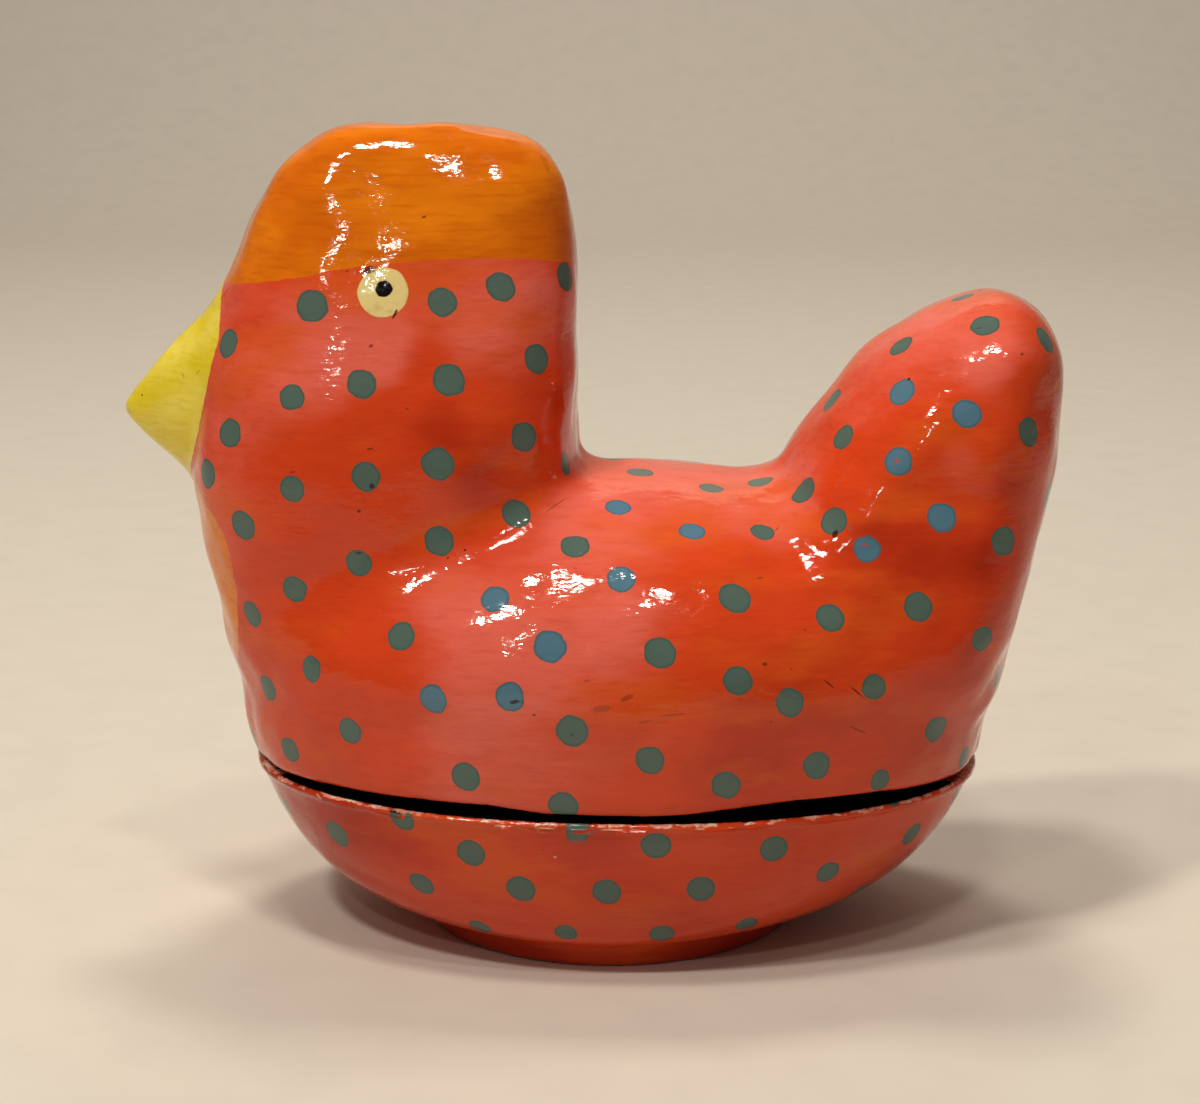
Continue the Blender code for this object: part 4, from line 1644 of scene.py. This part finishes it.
HEN_MARKS = (
    Mark(381, 248, 4, 3), Mark(424, 217, 5, 3, 20.0, 0.7), Mark(347, 271, 3, 2, 0.0, 0.7),
    Mark(369, 270, 16, 9, 20.0, 0.85), Mark(395, 314, 12, 3.5, 65.0, 0.85),
    Mark(371, 346, 6, 4, 30.0, 0.6), Mark(407, 409, 5, 2, -30.0, 0.5),
    Mark(370, 449, 8, 3, 10.0, 0.55), Mark(293, 472, 8, 2, 10.0, 0.5),
    Mark(372, 486, 7, 6), Mark(359, 511, 5, 4, 0.0, 0.8), Mark(359, 553, 8, 3.5, 0.0, 0.7),
    # Mark(556, 505), the long thin one, is a line of painted shade along the crease where the
    # neck meets the back
    Mark(448, 558, 3, 2), Mark(465, 550, 3, 3), Mark(556, 505, 42, 1.3, 32.0, 0.5),
    Mark(515, 702, 13, 5, 10.0), Mark(534, 715, 4, 3, 0.0, 0.7),
    Mark(587, 681, 9, 3, 10.0, 0.3), Mark(601, 709, 25, 8, 8.0, 0.32),
    Mark(627, 698, 17, 6, 25.0, 0.4), Mark(645, 722, 16, 3, 8.0, 0.3),
    Mark(672, 715, 36, 3, 5.0, 0.32), Mark(765, 664, 6, 5, 0.0, 0.6),
    Mark(791, 669, 4, 2, 0.0, 0.5), Mark(805, 630, 3, 2, 0.0, 0.6),
    Mark(829, 684, 18, 2, -43.0, 0.75), Mark(857, 692, 27, 1.7, -43.0, 0.85),
    Mark(858, 730, 26, 1.8, -28.0, 0.55), Mark(771, 722, 3, 2, 0.0, 0.6),
    Mark(777, 529, 8, 1.8, 60.0, 0.6), Mark(760, 578, 8, 1.8, 10.0, 0.6),
    Mark(835, 534, 11, 7, 80.0),
    Mark(897, 461, 7, 6, 0.0, 0.6, Tone.DEEP), Mark(865, 545, 9, 3, 10.0, 0.7, Tone.DEEP),
    Mark(979, 328, 8, 2, 20.0, 0.5), Mark(909, 379, 4, 4), Mark(1022, 354, 5, 3, 40.0, 0.7),
    Mark(183, 375, 9, 1.5, -50.0, 0.45), Mark(198, 372, 10, 1.5, 40.0, 0.45),
    Mark(142, 395, 3, 3, 0.0, 0.7), Mark(226, 292, 16, 1.6, 60.0, 0.7),
    Mark(545, 162, 26, 10, 75.0, 0.22), Mark(548, 148, 8, 4, 60.0, 0.3),
    Mark(575, 568, 6, 3, 0.0, 0.25), Mark(572, 735, 5, 4, 0.0, 0.4),
)

BOWL_MARKS = (
    Mark(395, 813, 15, 13), Mark(937, 782, 26, 9, 30.0), Mark(300, 784, 10, 5, -20.0),
    Mark(545, 829, 22, 4, 0.0, 0.9, Tone.PALE), Mark(612, 830, 26, 3, 0.0, 0.9, Tone.PALE),
    Mark(500, 826, 14, 3, 0.0, 0.8, Tone.PALE), Mark(555, 857, 4, 3, 0.0, 0.8, Tone.PALE),
    Mark(543, 850, 2.5, 2.5), Mark(870, 803, 22, 4, 25.0, 0.8, Tone.PALE),
    Mark(320, 798, 16, 3, -30.0, 0.7, Tone.PALE), Mark(700, 829, 12, 2.5, 0.0, 0.7, Tone.PALE),
)

# Tone patches: the pink ones on the body, head and tail are partly painted sheen, and the low
# ones and the deep one at (560, 400) are painted shade on the neck, back and tail
RED_PATCHES = (
    TonePatch(300, 350, 45, Tone.ORANGE), TonePatch(378, 330, 38, Tone.PINK_AND_SHEEN),
    TonePatch(378, 360, 30, Tone.PINK_AND_SHEEN), TonePatch(545, 300, 26, Tone.PINK_AND_SHEEN),
    TonePatch(470, 345, 30, Tone.ORANGE), TonePatch(590, 520, 48, Tone.PINK_AND_SHEEN),
    TonePatch(640, 455, 30, Tone.ORANGE), TonePatch(505, 665, 60, Tone.PINK_AND_SHEEN),
    TonePatch(450, 600, 38, Tone.PINK_AND_SHEEN), TonePatch(615, 620, 44, Tone.PINK_AND_SHEEN),
    TonePatch(680, 735, 30, Tone.ORANGE), TonePatch(960, 470, 34, Tone.PINK_AND_SHEEN),
    TonePatch(985, 370, 30, Tone.PINK_AND_SHEEN),
    TonePatch(900, 500, 30, Tone.ORANGE), TonePatch(560, 400, 34, Tone.DEEP),
    TonePatch(440, 430, 34, Tone.PAINTED_SHADE), TonePatch(480, 480, 34, Tone.PAINTED_SHADE),
    TonePatch(740, 560, 30, Tone.PAINTED_SHADE),
    TonePatch(1010, 480, 24, Tone.PAINTED_SHADE), TonePatch(980, 560, 30, Tone.PAINTED_SHADE),
)


def hen_finish() -> bpy.types.Material:
    """Finish of the lid: red, comb, wattle, beak, dots, eyes, wear and black inside."""
    wattle = BrushedArea(Place.WATTLE, srgb(232, 118, 14), srgb(240, 140, 30),
                         srgb(206, 92, 8), (3.0, 3.0, 1.0), seed=21.0)
    comb = BrushedArea(Place.COMB, srgb(214, 103, 3), srgb(232, 126, 8),
                       srgb(190, 84, 3), (9.0, 5.0, 1.0), seed=31.0)
    beak = BrushedArea(Place.BEAK, srgb(234, 208, 40), srgb(242, 222, 96),
                       srgb(214, 190, 24), (4.0, 4.0, 1.0), seed=41.0)
    return HenPaint("hen_paint", (wattle, comb, beak, DotPaint(), EyePaint(), Wear(),
                                  BlackLacquer(ragged=0.16, fleck_depth=0.0))).build()


def bowl_finish() -> bpy.types.Material:
    """Finish of the bowl: red, dots, wear, a ragged rim and black inside."""
    return HenPaint("bowl_paint", (DotPaint(), Wear(), BlackLacquer())).build()


def main() -> None:
    """Builds the stage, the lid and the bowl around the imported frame."""
    logging.basicConfig(level=logging.INFO, format="%(name)s: %(message)s")
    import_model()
    camera = PhotoCamera()
    camera.build()
    StudioStage().build()
    form = HenForm()
    mesher = SkinMesher()
    HenLid(form, camera, mesher).build(hen_finish(), HEN_DOTS, HEN_MARKS, RED_PATCHES)
    BowlBase(form, camera).build(bowl_finish(), BOWL_DOTS, BOWL_MARKS)


if __name__ == "__main__":
    main()
